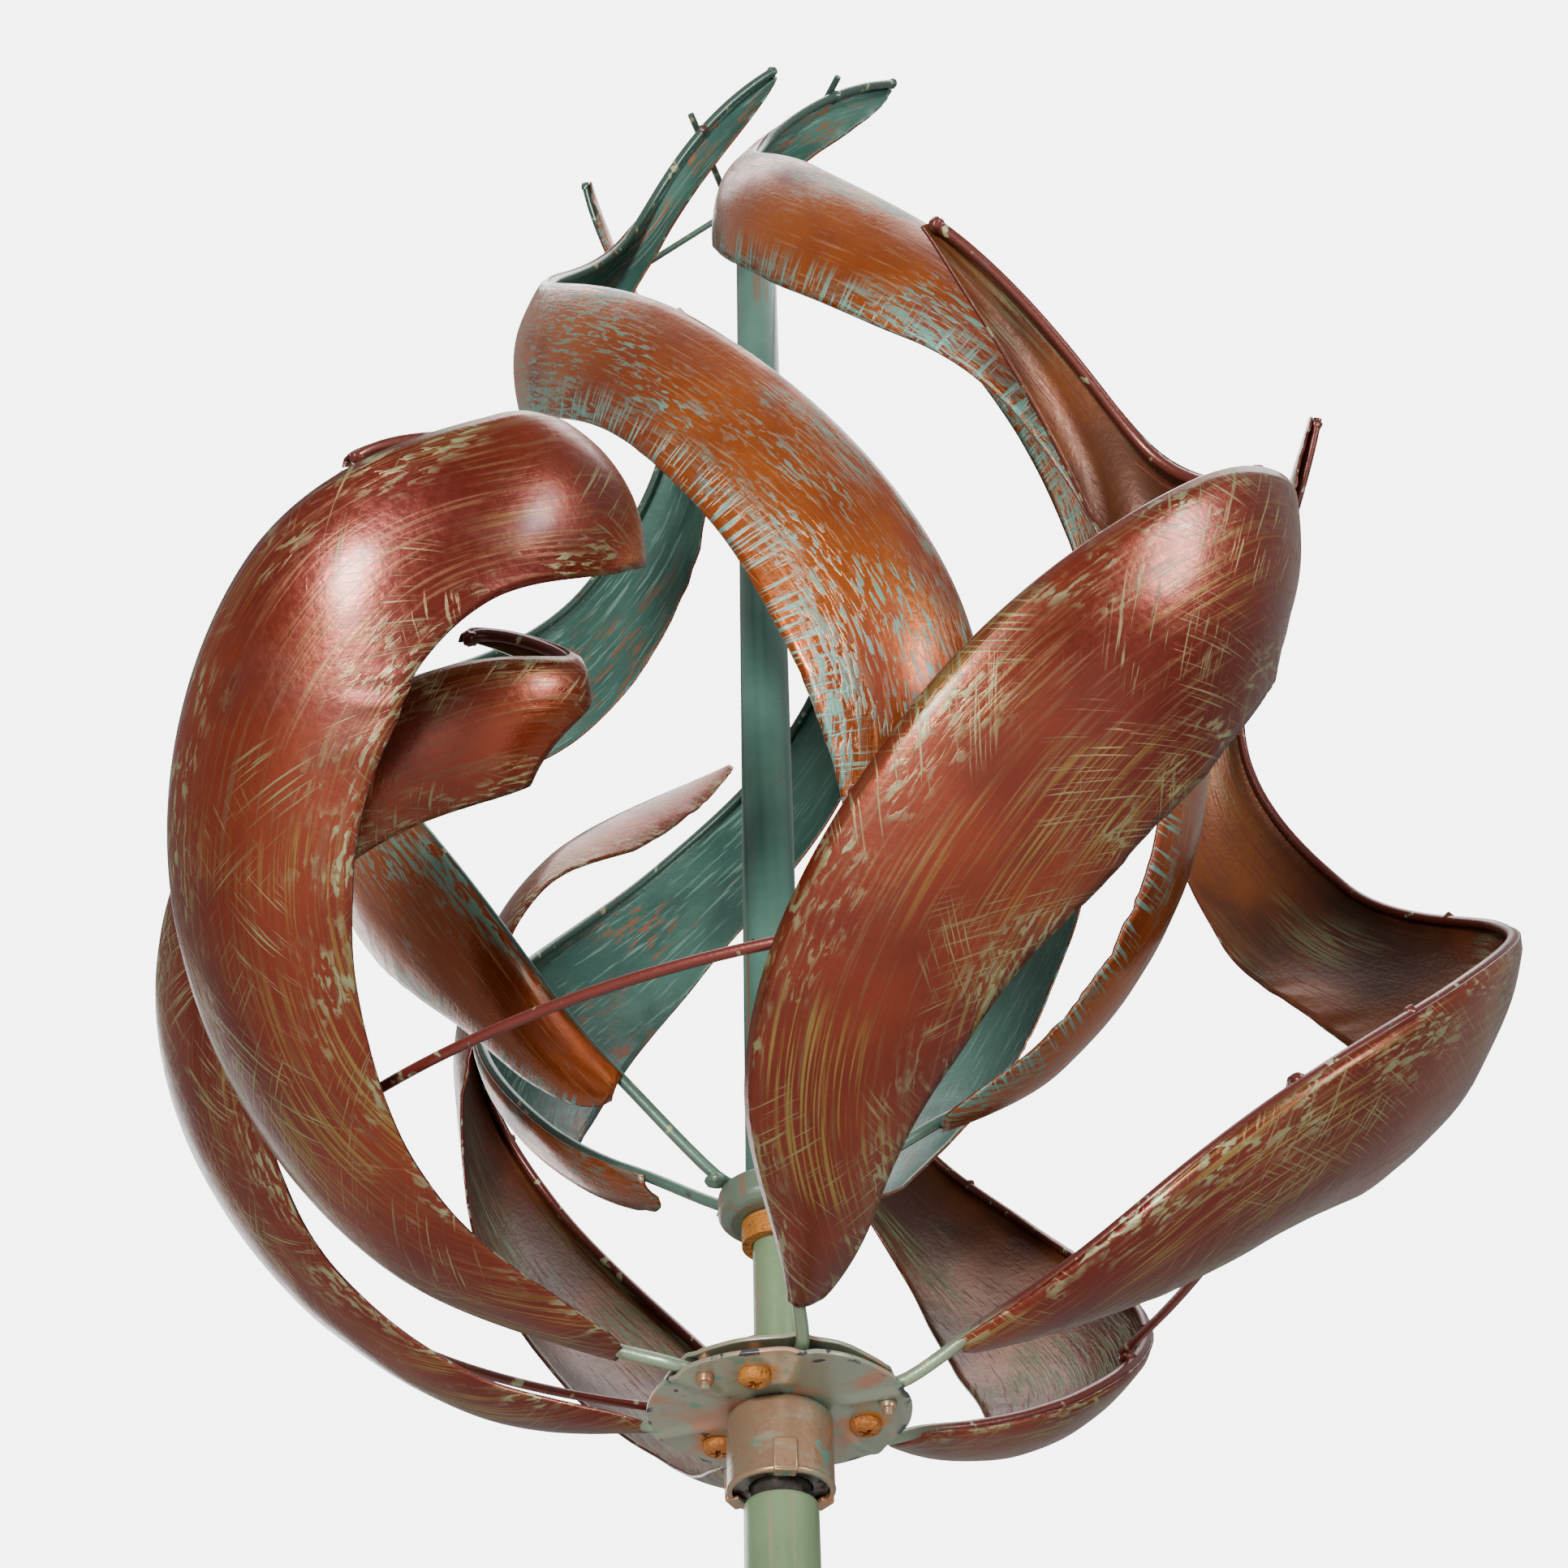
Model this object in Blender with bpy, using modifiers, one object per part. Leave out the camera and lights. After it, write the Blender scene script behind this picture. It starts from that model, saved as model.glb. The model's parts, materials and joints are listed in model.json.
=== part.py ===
"""A wind spinner: two rotors of cupped sheet-metal vanes, twisted opposite ways, on one pole.

Run it with: blender --background --python part.py
Units are metres, +Z is up and the origin is the centre of the pole section's foot. Vanes and rods
are laid out in millimetres and degrees: azimuth 0 points along -Y and grows towards +X, and heights
in the vane tables are above the hub plate.
"""

import math

import bmesh
import bpy
from mathutils import Matrix, Vector

MM = 0.001
# Clearance between pieces, and how far sharp corners are broken
GAP = 0.3 * MM
EDGE = 0.4 * MM
ROUND_STEPS = 24
PLATE_STEPS = 32
SMALL_STEPS = 12
SMOOTH_ANGLE = 35

# Pole, bearing and spindle
HUB_HEIGHT = 600 * MM
POLE_RADIUS = 11.1 * MM
POLE_TOP = HUB_HEIGHT - 28 * MM
POLE_WALL = 1.5 * MM
POLE_FLOOR = 3 * MM
PLUG_NECK_RADIUS = 8.9 * MM
PLUG_DEPTH = 30 * MM
SPINDLE_RADIUS = 7.5 * MM
SPINDLE_TOP = HUB_HEIGHT + 653 * MM
BEARING_RADIUS = 14 * MM
BEARING_WIDTH = 7 * MM
BEARING_FOOT = HUB_HEIGHT - 22.5 * MM
RACE_WALL = 1.4 * MM
CAGE_WALL = 1 * MM
BALL_COUNT = 8

# Bearing cup and its bent-in tabs
CUP_RADIUS = 16 * MM
CUP_WALL = 1.6 * MM
CUP_FOOT = HUB_HEIGHT - 25 * MM
TAB_AZIMUTHS = (5, 125, 245)
TAB_WIDTH = 8 * MM
TAB_DEPTH = 3.4 * MM
TAB_THICKNESS = 1.2 * MM
TAB_SAW = 0.8 * MM
TAB_SLOT = 11 * MM
TAB_OVERCUT = 2 * MM

# Hub plates and what holds them together
PLATE_RADIUS = 40 * MM
UPPER_PLATE_RADIUS = 36 * MM
PLATE_THICKNESS = 1.4 * MM
PLATE_BORE = 8.5 * MM
COLLAR_RADIUS = 13 * MM
COLLAR_HEIGHT = 11 * MM
RIB_RADIUS = 2.6 * MM
RIB_HEIGHT = 0.8 * MM
RIB_REACH = (18 * MM, 38 * MM)
SCREW_AZIMUTHS = (-15, 105, 225)
SCREW_CIRCLE = 27 * MM
SCREW_SHANK = 2 * MM
SCREW_HEAD = 4.9 * MM
SCREW_HEAD_HEIGHT = 3 * MM
# The head's outline: shares of its radius and of its height, from the plate out
HEAD_OUTLINE = ((1, 0), (1, 0.45), (0.8, 0.85), (0.4, 1), (0, 1))
CROSS_ARM = 5.4 * MM
CROSS_WIDTH = 1.1 * MM
CROSS_DEPTH = 1.5 * MM
NUT_RADIUS = 4 * MM
NUT_HEIGHT = 3 * MM
PIN_AZIMUTHS = (-41, 79, 199)
PIN_CIRCLE = 33 * MM
PIN_RADIUS = 1.8 * MM
PIN_COLLAR = 2.6 * MM
PIN_DROP = 4.5 * MM
# How far a fastener stands out of what it holds, and how far a cutter runs past a plate
STAND_OUT = 1 * MM
CUT_REACH = 5 * MM

# Rods and sheet of the vanes
ROD_RADIUS = 2 * MM
ROD_ROOT = 14 * MM
ROD_PLANE = HUB_HEIGHT + PLATE_THICKNESS + GAP + ROD_RADIUS
OUTER_ROOT_AZIMUTHS = (10, 70, 130, 190, -110, -50)
BRACE_RADIUS = 1.7 * MM
BRACED_VANES = ((5, 0), (3, 4), (1, 2))
BRACE_PLACE = 0.24
BRACE_DIP = 14 * MM
BRACE_STEPS = 10
BRACE_CLEARANCE = 1.5 * MM
SHEET_THICKNESS = 1.2 * MM
SHEET_INSET = ROD_RADIUS + GAP + 0.3 * MM
VANE_STEPS = 18
VANE_STRIPS = 4
# The sheet's bow is this share of its width, and its two ends start narrow and grow by the step
CUP_RATIO = 0.13
TIP_WIDTH = 3 * MM
CORNER_WIDTH = 0.6
CORNER_GROWTH = 0.2
POINT_WIDTH = 0.1
POINT_GROWTH = 0.3

# Inner rotor
INNER_HUB_FOOT = HUB_HEIGHT + 65 * MM
INNER_HUB_HEIGHT = 12 * MM
INNER_HUB_RADIUS = 18.6 * MM
TUBE_RADIUS = 9.6 * MM
TUBE_WALL = 1.2 * MM
TUBE_TOP = HUB_HEIGHT + 665 * MM
BUSHING_HEIGHT = 16 * MM
BUSHING_INSET = 2 * MM
THRUST_COLLAR_RADIUS = 11 * MM
THRUST_COLLAR_HEIGHT = 8 * MM
SPOKE_PLACE = 0.92
SPOKE_RADIUS = 1.6 * MM
SPOKE_OVERHANG = 8 * MM
INNER_ROOT_TURN = 10
INNER_ROOT_BEND = 20 * MM

# The lines of one vane, in equal steps from the hub to the tip: radius (mm), sweep (degrees)
# and height above the hub plate (mm)
OUTER_ROD = (
    (30, 0, 5),
    (115, -10, 35),
    (200, 5, 105),
    (245, 25, 185),
    (230, 40, 245),
    (195, 40, 310),
    (210, 20, 390),
)
OUTER_EDGE = (
    (30, 10, 5),
    (115, 10, 30),
    (190, 25, 90),
    (215, 37, 160),
    (185, 46, 220),
    (170, 42, 285),
    (200, 10, 362),
)
INNER_ROD = (
    (15, -5, 82),
    (90, -22, 130),
    (145, -10, 220),
    (160, 25, 345),
    (130, 58, 460),
    (80, 63, 565),
    (85, 15, 660),
)
INNER_EDGE = (
    (20, 10, 76),
    (90, 0, 118),
    (145, 12, 190),
    (155, 36, 300),
    (120, 68, 405),
    (75, 72, 520),
    (82, -8, 628),
)

# The vanes were bent by hand, so each has its own azimuth (degrees), reach and rise (times the
# lines above), extra twist by the tip (degrees), droop of the tip (mm) and how far the tip flares
# outwards (mm)
OUTER_VANES = (
    (10, 1.05, 0.85, -15, 25, 0),
    (72, 1.12, 1.1, 0, -50, 17),
    (140, 1.07, 1.1, -20, 0, 0),
    (190, 1.07, 1.2, -25, 0, 0),
    (-115, 0.85, 0.66, 65, 80, 0),
    (-62, 1.02, 0.88, 5, 100, 0),
)
INNER_VANES = (
    (12, 1.0, 0.95, -10, 0, 0),
    (75, 1.05, 1.0, 10, 0, 0),
    (145, 0.95, 1.05, 0, 0, 0),
    (-140, 1.0, 1.0, -5, 0, 0),
    (-80, 1.05, 1.05, 5, 0, 0),
)
# How far along its rod the sheet of a vane starts
OUTER_FIRST = 0.07
INNER_FIRST = 0.09
TIP_POWER = 4
TANGENT_STEP = 0.004


def clear_scene():
    for obj in list(bpy.data.objects):
        bpy.data.objects.remove(obj, do_unlink=True)


def new_collection(name):
    collection = bpy.data.collections.new(name)
    bpy.context.scene.collection.children.link(collection)
    return collection


def new_material(name, colour, roughness, metallic):
    material = bpy.data.materials.new(name)
    material.use_nodes = True
    shader = material.node_tree.nodes["Principled BSDF"]
    shader.inputs["Base Color"].default_value = (*colour, 1)
    shader.inputs["Roughness"].default_value = roughness
    shader.inputs["Metallic"].default_value = metallic
    return material


def polar(radius, azimuth, height):
    angle = math.radians(azimuth)
    return Vector((radius * math.sin(angle), -radius * math.cos(angle), height))


def add_object(name, data, material, collection):
    obj = bpy.data.objects.new(name, data)
    if material:
        data.materials.append(material)
    collection.objects.link(obj)
    return obj


def mesh_object(name, bm, material, collection):
    mesh = bpy.data.meshes.new(name)
    bm.to_mesh(mesh)
    bm.free()
    return add_object(name, mesh, material, collection)


def turned(name, profile, material, collection, segments=ROUND_STEPS):
    """A closed profile of (radius, height) points, clockwise seen from -Y, turned about Z."""
    bm = bmesh.new()
    verts = [bm.verts.new((radius, 0, height)) for radius, height in profile]
    for first, second in zip(verts, verts[1:] + verts[:1]):
        if first.co.x > 0 or second.co.x > 0:
            bm.edges.new((first, second))
    obj = mesh_object(name, bm, material, collection)
    screw = obj.modifiers.new("turn", "SCREW")
    screw.axis = "Z"
    screw.steps = segments
    screw.render_steps = segments
    screw.use_merge_vertices = True
    screw.merge_threshold = 1e-5
    return obj


def ring(name, inner, outer, foot, top, material, collection, edge=EDGE):
    """A plain ring, with its outer corners broken by edge."""
    profile = [
        (outer - edge, top),
        (outer, top - edge),
        (outer, foot + edge),
        (outer - edge, foot),
        (inner, foot),
        (inner, top),
    ]
    return turned(name, profile, material, collection)


def cutter(name, bm, collection):
    obj = mesh_object(name, bm, None, collection)
    obj.hide_render = True
    obj.display_type = "WIRE"
    return obj


def boolean(obj, other, operation, crossing=False):
    """Join or cut with another mesh; crossing says that the other mesh's own boxes cross."""
    modifier = obj.modifiers.new(operation.lower(), "BOOLEAN")
    modifier.operation = operation
    modifier.object = other
    modifier.solver = "EXACT"
    modifier.use_self = crossing


def wire(name, points, radius, material, collection):
    """A round rod along the points, as a POLY curve with filled caps."""
    curve = bpy.data.curves.new(name, "CURVE")
    curve.dimensions = "3D"
    curve.bevel_depth = radius
    curve.bevel_resolution = 2
    curve.use_fill_caps = True
    spline = curve.splines.new("POLY")
    spline.points.add(len(points) - 1)
    for target, point in zip(spline.points, points):
        target.co = (*point, 1)
    return add_object(name, curve, material, collection)


class Line:
    """A smooth line through stations of radius, sweep and height, bent by one vane's settings."""

    def __init__(self, stations, hand, azimuth, reach, rise, twist, droop, flare):
        self.stations = stations
        self.hand = hand
        self.azimuth = azimuth
        self.reach = reach
        self.rise = rise
        self.twist = twist
        self.droop = droop
        self.flare = flare

    def at(self, along):
        last = len(self.stations) - 1
        place = min(max(along, 0), 1) * last
        index = min(int(place), last - 1)
        part = place - index
        before = self.stations[max(index - 1, 0)]
        start, end = self.stations[index], self.stations[index + 1]
        after = self.stations[min(index + 2, last)]
        radius, sweep, height = (
            0.5
            * (
                2 * b
                + (c - a) * part
                + (2 * a - 5 * b + 4 * c - d) * part**2
                + (3 * b - a - 3 * c + d) * part**3
            )
            for a, b, c, d in zip(before, start, end, after)
        )
        sweep += self.twist * along
        azimuth = self.azimuth + self.hand * sweep
        height = height * self.rise - self.droop * along**TIP_POWER
        radius = radius * self.reach + self.flare * along**TIP_POWER
        point = polar(radius, azimuth, height) * MM
        return point + Vector((0, 0, HUB_HEIGHT))

    def tangent(self, along):
        ahead = self.at(min(along + TANGENT_STEP, 1))
        return (ahead - self.at(max(along - TANGENT_STEP, 0))).normalized()


def spread(first, last, steps):
    return [first + (last - first) * step / steps for step in range(steps + 1)]


def vane_sheet(name, rod, edge, hand, first, material, collection):
    """The cupped sheet from beside its rod to its free edge, thickened about its own middle."""
    bm = bmesh.new()
    rows = []
    for step, along in enumerate(spread(first, 1, VANE_STEPS)):
        start = rod.at(along)
        tangent = rod.tangent(along)
        across = edge.at(along) - start
        square = (across - tangent * across.dot(tangent)).normalized()
        outward = hand * square.cross(tangent)
        near = start + square * SHEET_INSET
        span = edge.at(along) - near
        if span.dot(square) < TIP_WIDTH:
            span += square * (TIP_WIDTH - span.dot(square))
        span *= min(1, CORNER_WIDTH + CORNER_GROWTH * step)
        span *= min(1, POINT_WIDTH + POINT_GROWTH * (VANE_STEPS - step))
        row = []
        for share in spread(0, 1, VANE_STRIPS):
            bow = CUP_RATIO * span.length * 4 * share * (1 - share)
            row.append(bm.verts.new(near + span * share + outward * bow))
        rows.append(row)
    for lower, upper in zip(rows, rows[1:]):
        for strip in range(VANE_STRIPS):
            bm.faces.new((lower[strip], lower[strip + 1], upper[strip + 1], upper[strip]))
    obj = mesh_object(name, bm, material, collection)
    solidify = obj.modifiers.new("sheet", "SOLIDIFY")
    solidify.thickness = SHEET_THICKNESS
    solidify.offset = 0
    return obj


def smooth_shade(collection):
    for obj in collection.objects:
        if obj.type == "MESH":
            obj.data.shade_smooth()
            obj.data.set_sharp_from_angle(angle=math.radians(SMOOTH_ANGLE))


def new_materials():
    return {
        "pole": new_material("pole_green", (0.21, 0.32, 0.2), 0.35, 0.4),
        "hub": new_material("hub_patina", (0.36, 0.3, 0.22), 0.45, 0.7),
        "rust": new_material("screw_rust", (0.42, 0.2, 0.06), 0.6, 0.6),
        "steel": new_material("bearing_steel", (0.5, 0.48, 0.45), 0.3, 1.0),
        "rod": new_material("rod_bronze", (0.2, 0.06, 0.03), 0.35, 0.8),
        "bronze": new_material("vane_bronze", (0.25, 0.06, 0.03), 0.32, 0.85),
        "copper": new_material("vane_copper", (0.4, 0.13, 0.04), 0.32, 0.9),
        "teal": new_material("tube_teal", (0.1, 0.22, 0.19), 0.4, 0.5),
    }


def add_box(bm, size, centre, azimuth=0):
    """A box in a bmesh, turned about Z after it is placed."""
    verts = bmesh.ops.create_cube(bm, size=1)["verts"]
    bmesh.ops.scale(bm, verts=verts, vec=size)
    bmesh.ops.translate(bm, verts=verts, vec=centre)
    turn = Matrix.Rotation(math.radians(azimuth), 3, "Z")
    bmesh.ops.rotate(bm, verts=verts, cent=(0, 0, 0), matrix=turn)


def add_cylinder(bm, radius, foot, top, place=(0, 0), segments=SMALL_STEPS):
    """An upright cylinder in a bmesh; place is its (x, y) position."""
    made = bmesh.ops.create_cone(
        bm, cap_ends=True, segments=segments, radius1=radius, radius2=radius, depth=top - foot
    )
    centre = (place[0], place[1], (foot + top) / 2)
    bmesh.ops.translate(bm, verts=made["verts"], vec=centre)


def build_pole(materials, parts):
    plug_foot = POLE_TOP - PLUG_DEPTH
    bore = POLE_RADIUS - POLE_WALL
    pole_profile = [
        (bore, POLE_TOP),
        (POLE_RADIUS - EDGE, POLE_TOP),
        (POLE_RADIUS, POLE_TOP - EDGE),
        (POLE_RADIUS, EDGE),
        (POLE_RADIUS - EDGE, 0),
        (0, 0),
        (0, POLE_FLOOR),
        (bore, POLE_FLOOR),
    ]
    turned("pole", pole_profile, materials["pole"], parts)
    # The plug fills the pole's top, and the bearing's inner ring rests on its neck
    neck_top = BEARING_FOOT - GAP
    plug_profile = [
        (SPINDLE_RADIUS + GAP, neck_top),
        (PLUG_NECK_RADIUS, neck_top),
        (PLUG_NECK_RADIUS, POLE_TOP + GAP),
        (bore - GAP, POLE_TOP + GAP),
        (bore - GAP, plug_foot),
        (SPINDLE_RADIUS + GAP, plug_foot),
    ]
    turned("pole_plug", plug_profile, materials["rust"], parts)
    spindle_profile = [
        (0, SPINDLE_TOP),
        (SPINDLE_RADIUS - EDGE, SPINDLE_TOP),
        (SPINDLE_RADIUS, SPINDLE_TOP - EDGE),
        (SPINDLE_RADIUS, plug_foot),
        (0, plug_foot),
    ]
    turned("spindle", spindle_profile, materials["pole"], parts)
    collar_top = INNER_HUB_FOOT - GAP
    collar_foot = collar_top - THRUST_COLLAR_HEIGHT
    ring(
        "thrust_collar", SPINDLE_RADIUS + GAP, THRUST_COLLAR_RADIUS, collar_foot, collar_top,
        materials["rust"], parts,
    )


def build_bearing(materials, parts, cutters):
    foot, top = BEARING_FOOT, BEARING_FOOT + BEARING_WIDTH
    bore = SPINDLE_RADIUS + GAP
    inner_top = bore + RACE_WALL
    outer_bore = BEARING_RADIUS - RACE_WALL
    steel = materials["steel"]
    ring("lower_bearing_inner", bore, inner_top, foot, top, steel, parts, GAP)
    ring("lower_bearing_outer", outer_bore, BEARING_RADIUS, foot, top, steel, parts, GAP)
    # The balls are joined to the thin ring of their cage
    pitch = (inner_top + outer_bore) / 2
    ball_radius = (outer_bore - inner_top) / 2 - GAP
    middle = (foot + top) / 2
    cage_profile = [
        (pitch + CAGE_WALL / 2, middle + CAGE_WALL),
        (pitch + CAGE_WALL / 2, middle - CAGE_WALL),
        (pitch - CAGE_WALL / 2, middle - CAGE_WALL),
        (pitch - CAGE_WALL / 2, middle + CAGE_WALL),
    ]
    cage = turned("lower_bearing_cage", cage_profile, steel, parts, BALL_COUNT * 3)
    balls = bmesh.new()
    for ball in range(BALL_COUNT):
        made = bmesh.ops.create_icosphere(balls, subdivisions=1, radius=ball_radius)
        spot = polar(pitch, 360 * ball / BALL_COUNT, middle)
        bmesh.ops.translate(balls, verts=made["verts"], vec=spot)
    boolean(cage, cutter("balls", balls, cutters), "UNION")


def build_cup(materials, parts, cutters):
    """The cup under the hub: a short tube, closed at its top, with three bent-in tabs."""
    top = HUB_HEIGHT - GAP
    bore = CUP_RADIUS - CUP_WALL
    profile = [
        (PLATE_BORE, top),
        (CUP_RADIUS - EDGE, top),
        (CUP_RADIUS, top - EDGE),
        (CUP_RADIUS, CUP_FOOT),
        (bore, CUP_FOOT),
        (bore, top - CUP_WALL),
        (PLATE_BORE, top - CUP_WALL),
    ]
    cup = turned("bearing_cup", profile, materials["hub"], parts)
    slots = bmesh.new()
    lips = bmesh.new()
    for azimuth in TAB_AZIMUTHS:
        for side in (-1, 1):
            centre = (side * TAB_WIDTH / 2, -CUP_RADIUS, CUP_FOOT + (TAB_SLOT - TAB_OVERCUT) / 2)
            add_box(slots, (TAB_SAW, 4 * CUP_WALL, TAB_SLOT + TAB_OVERCUT), centre, azimuth)
        lip_length = TAB_DEPTH + CUP_WALL / 2
        centre = (0, -bore - CUP_WALL / 2 + lip_length / 2, CUP_FOOT + TAB_THICKNESS / 2)
        add_box(lips, (TAB_WIDTH - 2 * TAB_SAW, lip_length, TAB_THICKNESS), centre, azimuth)
    boolean(cup, cutter("tab_slots", slots, cutters), "DIFFERENCE")
    boolean(cup, cutter("tab_lips", lips, cutters), "UNION")


def build_plates(materials, parts, cutters):
    """Two plates clamp the rods between them; pressed ribs on both follow the rods."""
    lower_top = HUB_HEIGHT + PLATE_THICKNESS
    upper_foot = ROD_PLANE + ROD_RADIUS + GAP
    upper_top = upper_foot + PLATE_THICKNESS
    hub = materials["hub"]
    lower_profile = [
        (PLATE_RADIUS - EDGE, lower_top),
        (PLATE_RADIUS, lower_top - EDGE),
        (PLATE_RADIUS, HUB_HEIGHT + EDGE),
        (PLATE_RADIUS - EDGE, HUB_HEIGHT),
        (PLATE_BORE, HUB_HEIGHT),
        (PLATE_BORE, lower_top),
    ]
    lower = turned("lower_flange", lower_profile, hub, parts, PLATE_STEPS)
    upper_profile = [
        (PLATE_BORE, upper_top + COLLAR_HEIGHT),
        (COLLAR_RADIUS - EDGE, upper_top + COLLAR_HEIGHT),
        (COLLAR_RADIUS, upper_top + COLLAR_HEIGHT - EDGE),
        (COLLAR_RADIUS, upper_top),
        (UPPER_PLATE_RADIUS - EDGE, upper_top),
        (UPPER_PLATE_RADIUS, upper_top - EDGE),
        (UPPER_PLATE_RADIUS, upper_foot),
        (PLATE_BORE, upper_foot),
    ]
    upper = turned("upper_flange", upper_profile, hub, parts, PLATE_STEPS)
    ribs = bmesh.new()
    start, end = RIB_REACH
    for azimuth in OUTER_ROOT_AZIMUTHS:
        made = bmesh.ops.create_cone(
            ribs, cap_ends=True, segments=SMALL_STEPS, radius1=RIB_RADIUS, radius2=RIB_RADIUS,
            depth=end - start,
        )
        turn = Matrix.Rotation(math.radians(azimuth), 3, "Z")
        turn @= Matrix.Rotation(math.pi / 2, 3, "X")
        bmesh.ops.rotate(ribs, verts=made["verts"], cent=(0, 0, 0), matrix=turn)
        spot = polar((start + end) / 2, azimuth, HUB_HEIGHT + RIB_RADIUS - RIB_HEIGHT)
        bmesh.ops.translate(ribs, verts=made["verts"], vec=spot)
    # Only the part of each rib below the plate's top may show
    trim = bmesh.new()
    cut_foot = HUB_HEIGHT - CUT_REACH
    cut_top = upper_top + CUT_REACH
    add_cylinder(trim, PLATE_RADIUS, cut_foot, lower_top - GAP, segments=PLATE_STEPS)
    rib_body = cutter("ribs", ribs, cutters)
    boolean(rib_body, cutter("rib_trim", trim, cutters), "INTERSECT")
    boolean(lower, rib_body, "UNION")
    holes = bmesh.new()
    for azimuth in SCREW_AZIMUTHS:
        place = polar(SCREW_CIRCLE, azimuth, 0)
        add_cylinder(holes, SCREW_SHANK + GAP, cut_foot, cut_top, place)
    for azimuth in PIN_AZIMUTHS:
        place = polar(PIN_CIRCLE, azimuth, 0)
        add_cylinder(holes, PIN_RADIUS + GAP, cut_foot, cut_top, place)
    hole_body = cutter("plate_holes", holes, cutters)
    boolean(lower, hole_body, "DIFFERENCE")
    boolean(upper, hole_body, "DIFFERENCE")
    return upper_top


def build_screw(number, azimuth, materials, parts, cutters, upper_top):
    """A pan-head screw put in from below, with a cross recess, and the nut on its upper end."""
    place = polar(SCREW_CIRCLE, azimuth, 0)
    head_top = HUB_HEIGHT - GAP
    shank_top = upper_top + NUT_HEIGHT + STAND_OUT
    profile = [(0, shank_top), (SCREW_SHANK, shank_top), (SCREW_SHANK, head_top)]
    for radius_share, height_share in HEAD_OUTLINE:
        profile.append((SCREW_HEAD * radius_share, head_top - SCREW_HEAD_HEIGHT * height_share))
    screw = turned(f"hub_screw_{number}", profile, materials["rust"], parts, SMALL_STEPS)
    screw.location = place
    cross = bmesh.new()
    centre = (0, 0, head_top - SCREW_HEAD_HEIGHT)
    for turn in (0, 90):
        add_box(cross, (CROSS_ARM, CROSS_WIDTH, 2 * CROSS_DEPTH), centre, turn + azimuth * 2)
    recess = cutter(f"cross_{number}", cross, cutters)
    recess.location = place
    boolean(screw, recess, "DIFFERENCE", crossing=True)

    nut_foot = upper_top + GAP
    hexagon = bmesh.new()
    add_cylinder(hexagon, NUT_RADIUS, nut_foot, nut_foot + NUT_HEIGHT, segments=6)
    nut = mesh_object(f"hub_nut_{number}", hexagon, materials["rust"], parts)
    nut.location = place
    bore = bmesh.new()
    add_cylinder(bore, SCREW_SHANK + GAP, nut_foot - STAND_OUT, nut_foot + NUT_HEIGHT + STAND_OUT)
    thread = cutter(f"nut_bore_{number}", bore, cutters)
    thread.location = place
    boolean(nut, thread, "DIFFERENCE")


def build_pin(number, azimuth, materials, parts, upper_top):
    profile = [
        (0, upper_top + STAND_OUT),
        (PIN_RADIUS, upper_top + STAND_OUT),
        (PIN_RADIUS, HUB_HEIGHT - GAP),
        (PIN_COLLAR, HUB_HEIGHT - GAP),
        (PIN_COLLAR, HUB_HEIGHT - PIN_DROP / 2),
        (PIN_RADIUS, HUB_HEIGHT - PIN_DROP / 2),
        (PIN_RADIUS, HUB_HEIGHT - PIN_DROP),
        (0, HUB_HEIGHT - PIN_DROP),
    ]
    pin = turned(f"hub_pin_{number}", profile, materials["hub"], parts, SMALL_STEPS)
    pin.location = polar(PIN_CIRCLE, azimuth, 0)


def build_outer_rotor(materials, parts):
    """Six rods run out of the hub plates, each along the left edge of its vane."""
    rods = []
    for number, (azimuth, bend) in enumerate(zip(OUTER_ROOT_AZIMUTHS, OUTER_VANES), 1):
        rod = Line(OUTER_ROD, 1, *bend)
        edge = Line(OUTER_EDGE, 1, *bend)
        rods.append(rod)
        points = [polar(radius, azimuth, ROD_PLANE) for radius in (ROD_ROOT, PLATE_RADIUS + MM)]
        points += [rod.at(along) for along in spread(OUTER_FIRST, 1, VANE_STEPS)]
        wire(f"outer_rod_{number}", points, ROD_RADIUS, materials["rod"], parts)
        vane_sheet(f"outer_vane_{number}", rod, edge, 1, OUTER_FIRST, materials["bronze"], parts)
    for number, (first, second) in enumerate(BRACED_VANES, 1):
        points = brace_points(rods[first], rods[second])
        wire(f"outer_brace_{number}", points, BRACE_RADIUS, materials["rod"], parts)


def beside(rod, along, distance):
    """A point this far from the rod, on the side of the axis."""
    spot = rod.at(along)
    tangent = rod.tangent(along)
    inward = -Vector((spot.x, spot.y, 0))
    inward -= tangent * inward.dot(tangent)
    return spot + inward.normalized() * distance


def brace_points(first, second):
    """A wire bent round the axis from one rod to the next, a little flatter than a true arc."""
    reach = ROD_RADIUS + BRACE_RADIUS + BRACE_CLEARANCE
    start = beside(first, BRACE_PLACE, reach)
    end = beside(second, BRACE_PLACE, reach)
    radii = [math.hypot(spot.x, spot.y) for spot in (start, end)]
    azimuths = [math.degrees(math.atan2(spot.x, -spot.y)) for spot in (start, end)]
    turn = (azimuths[1] - azimuths[0]) % 360
    points = []
    for share in spread(0, 1, BRACE_STEPS):
        radius = radii[0] + (radii[1] - radii[0]) * share - BRACE_DIP * 4 * share * (1 - share)
        height = start.z + (end.z - start.z) * share
        points.append(polar(radius, azimuths[0] + turn * share, height))
    return points


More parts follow.
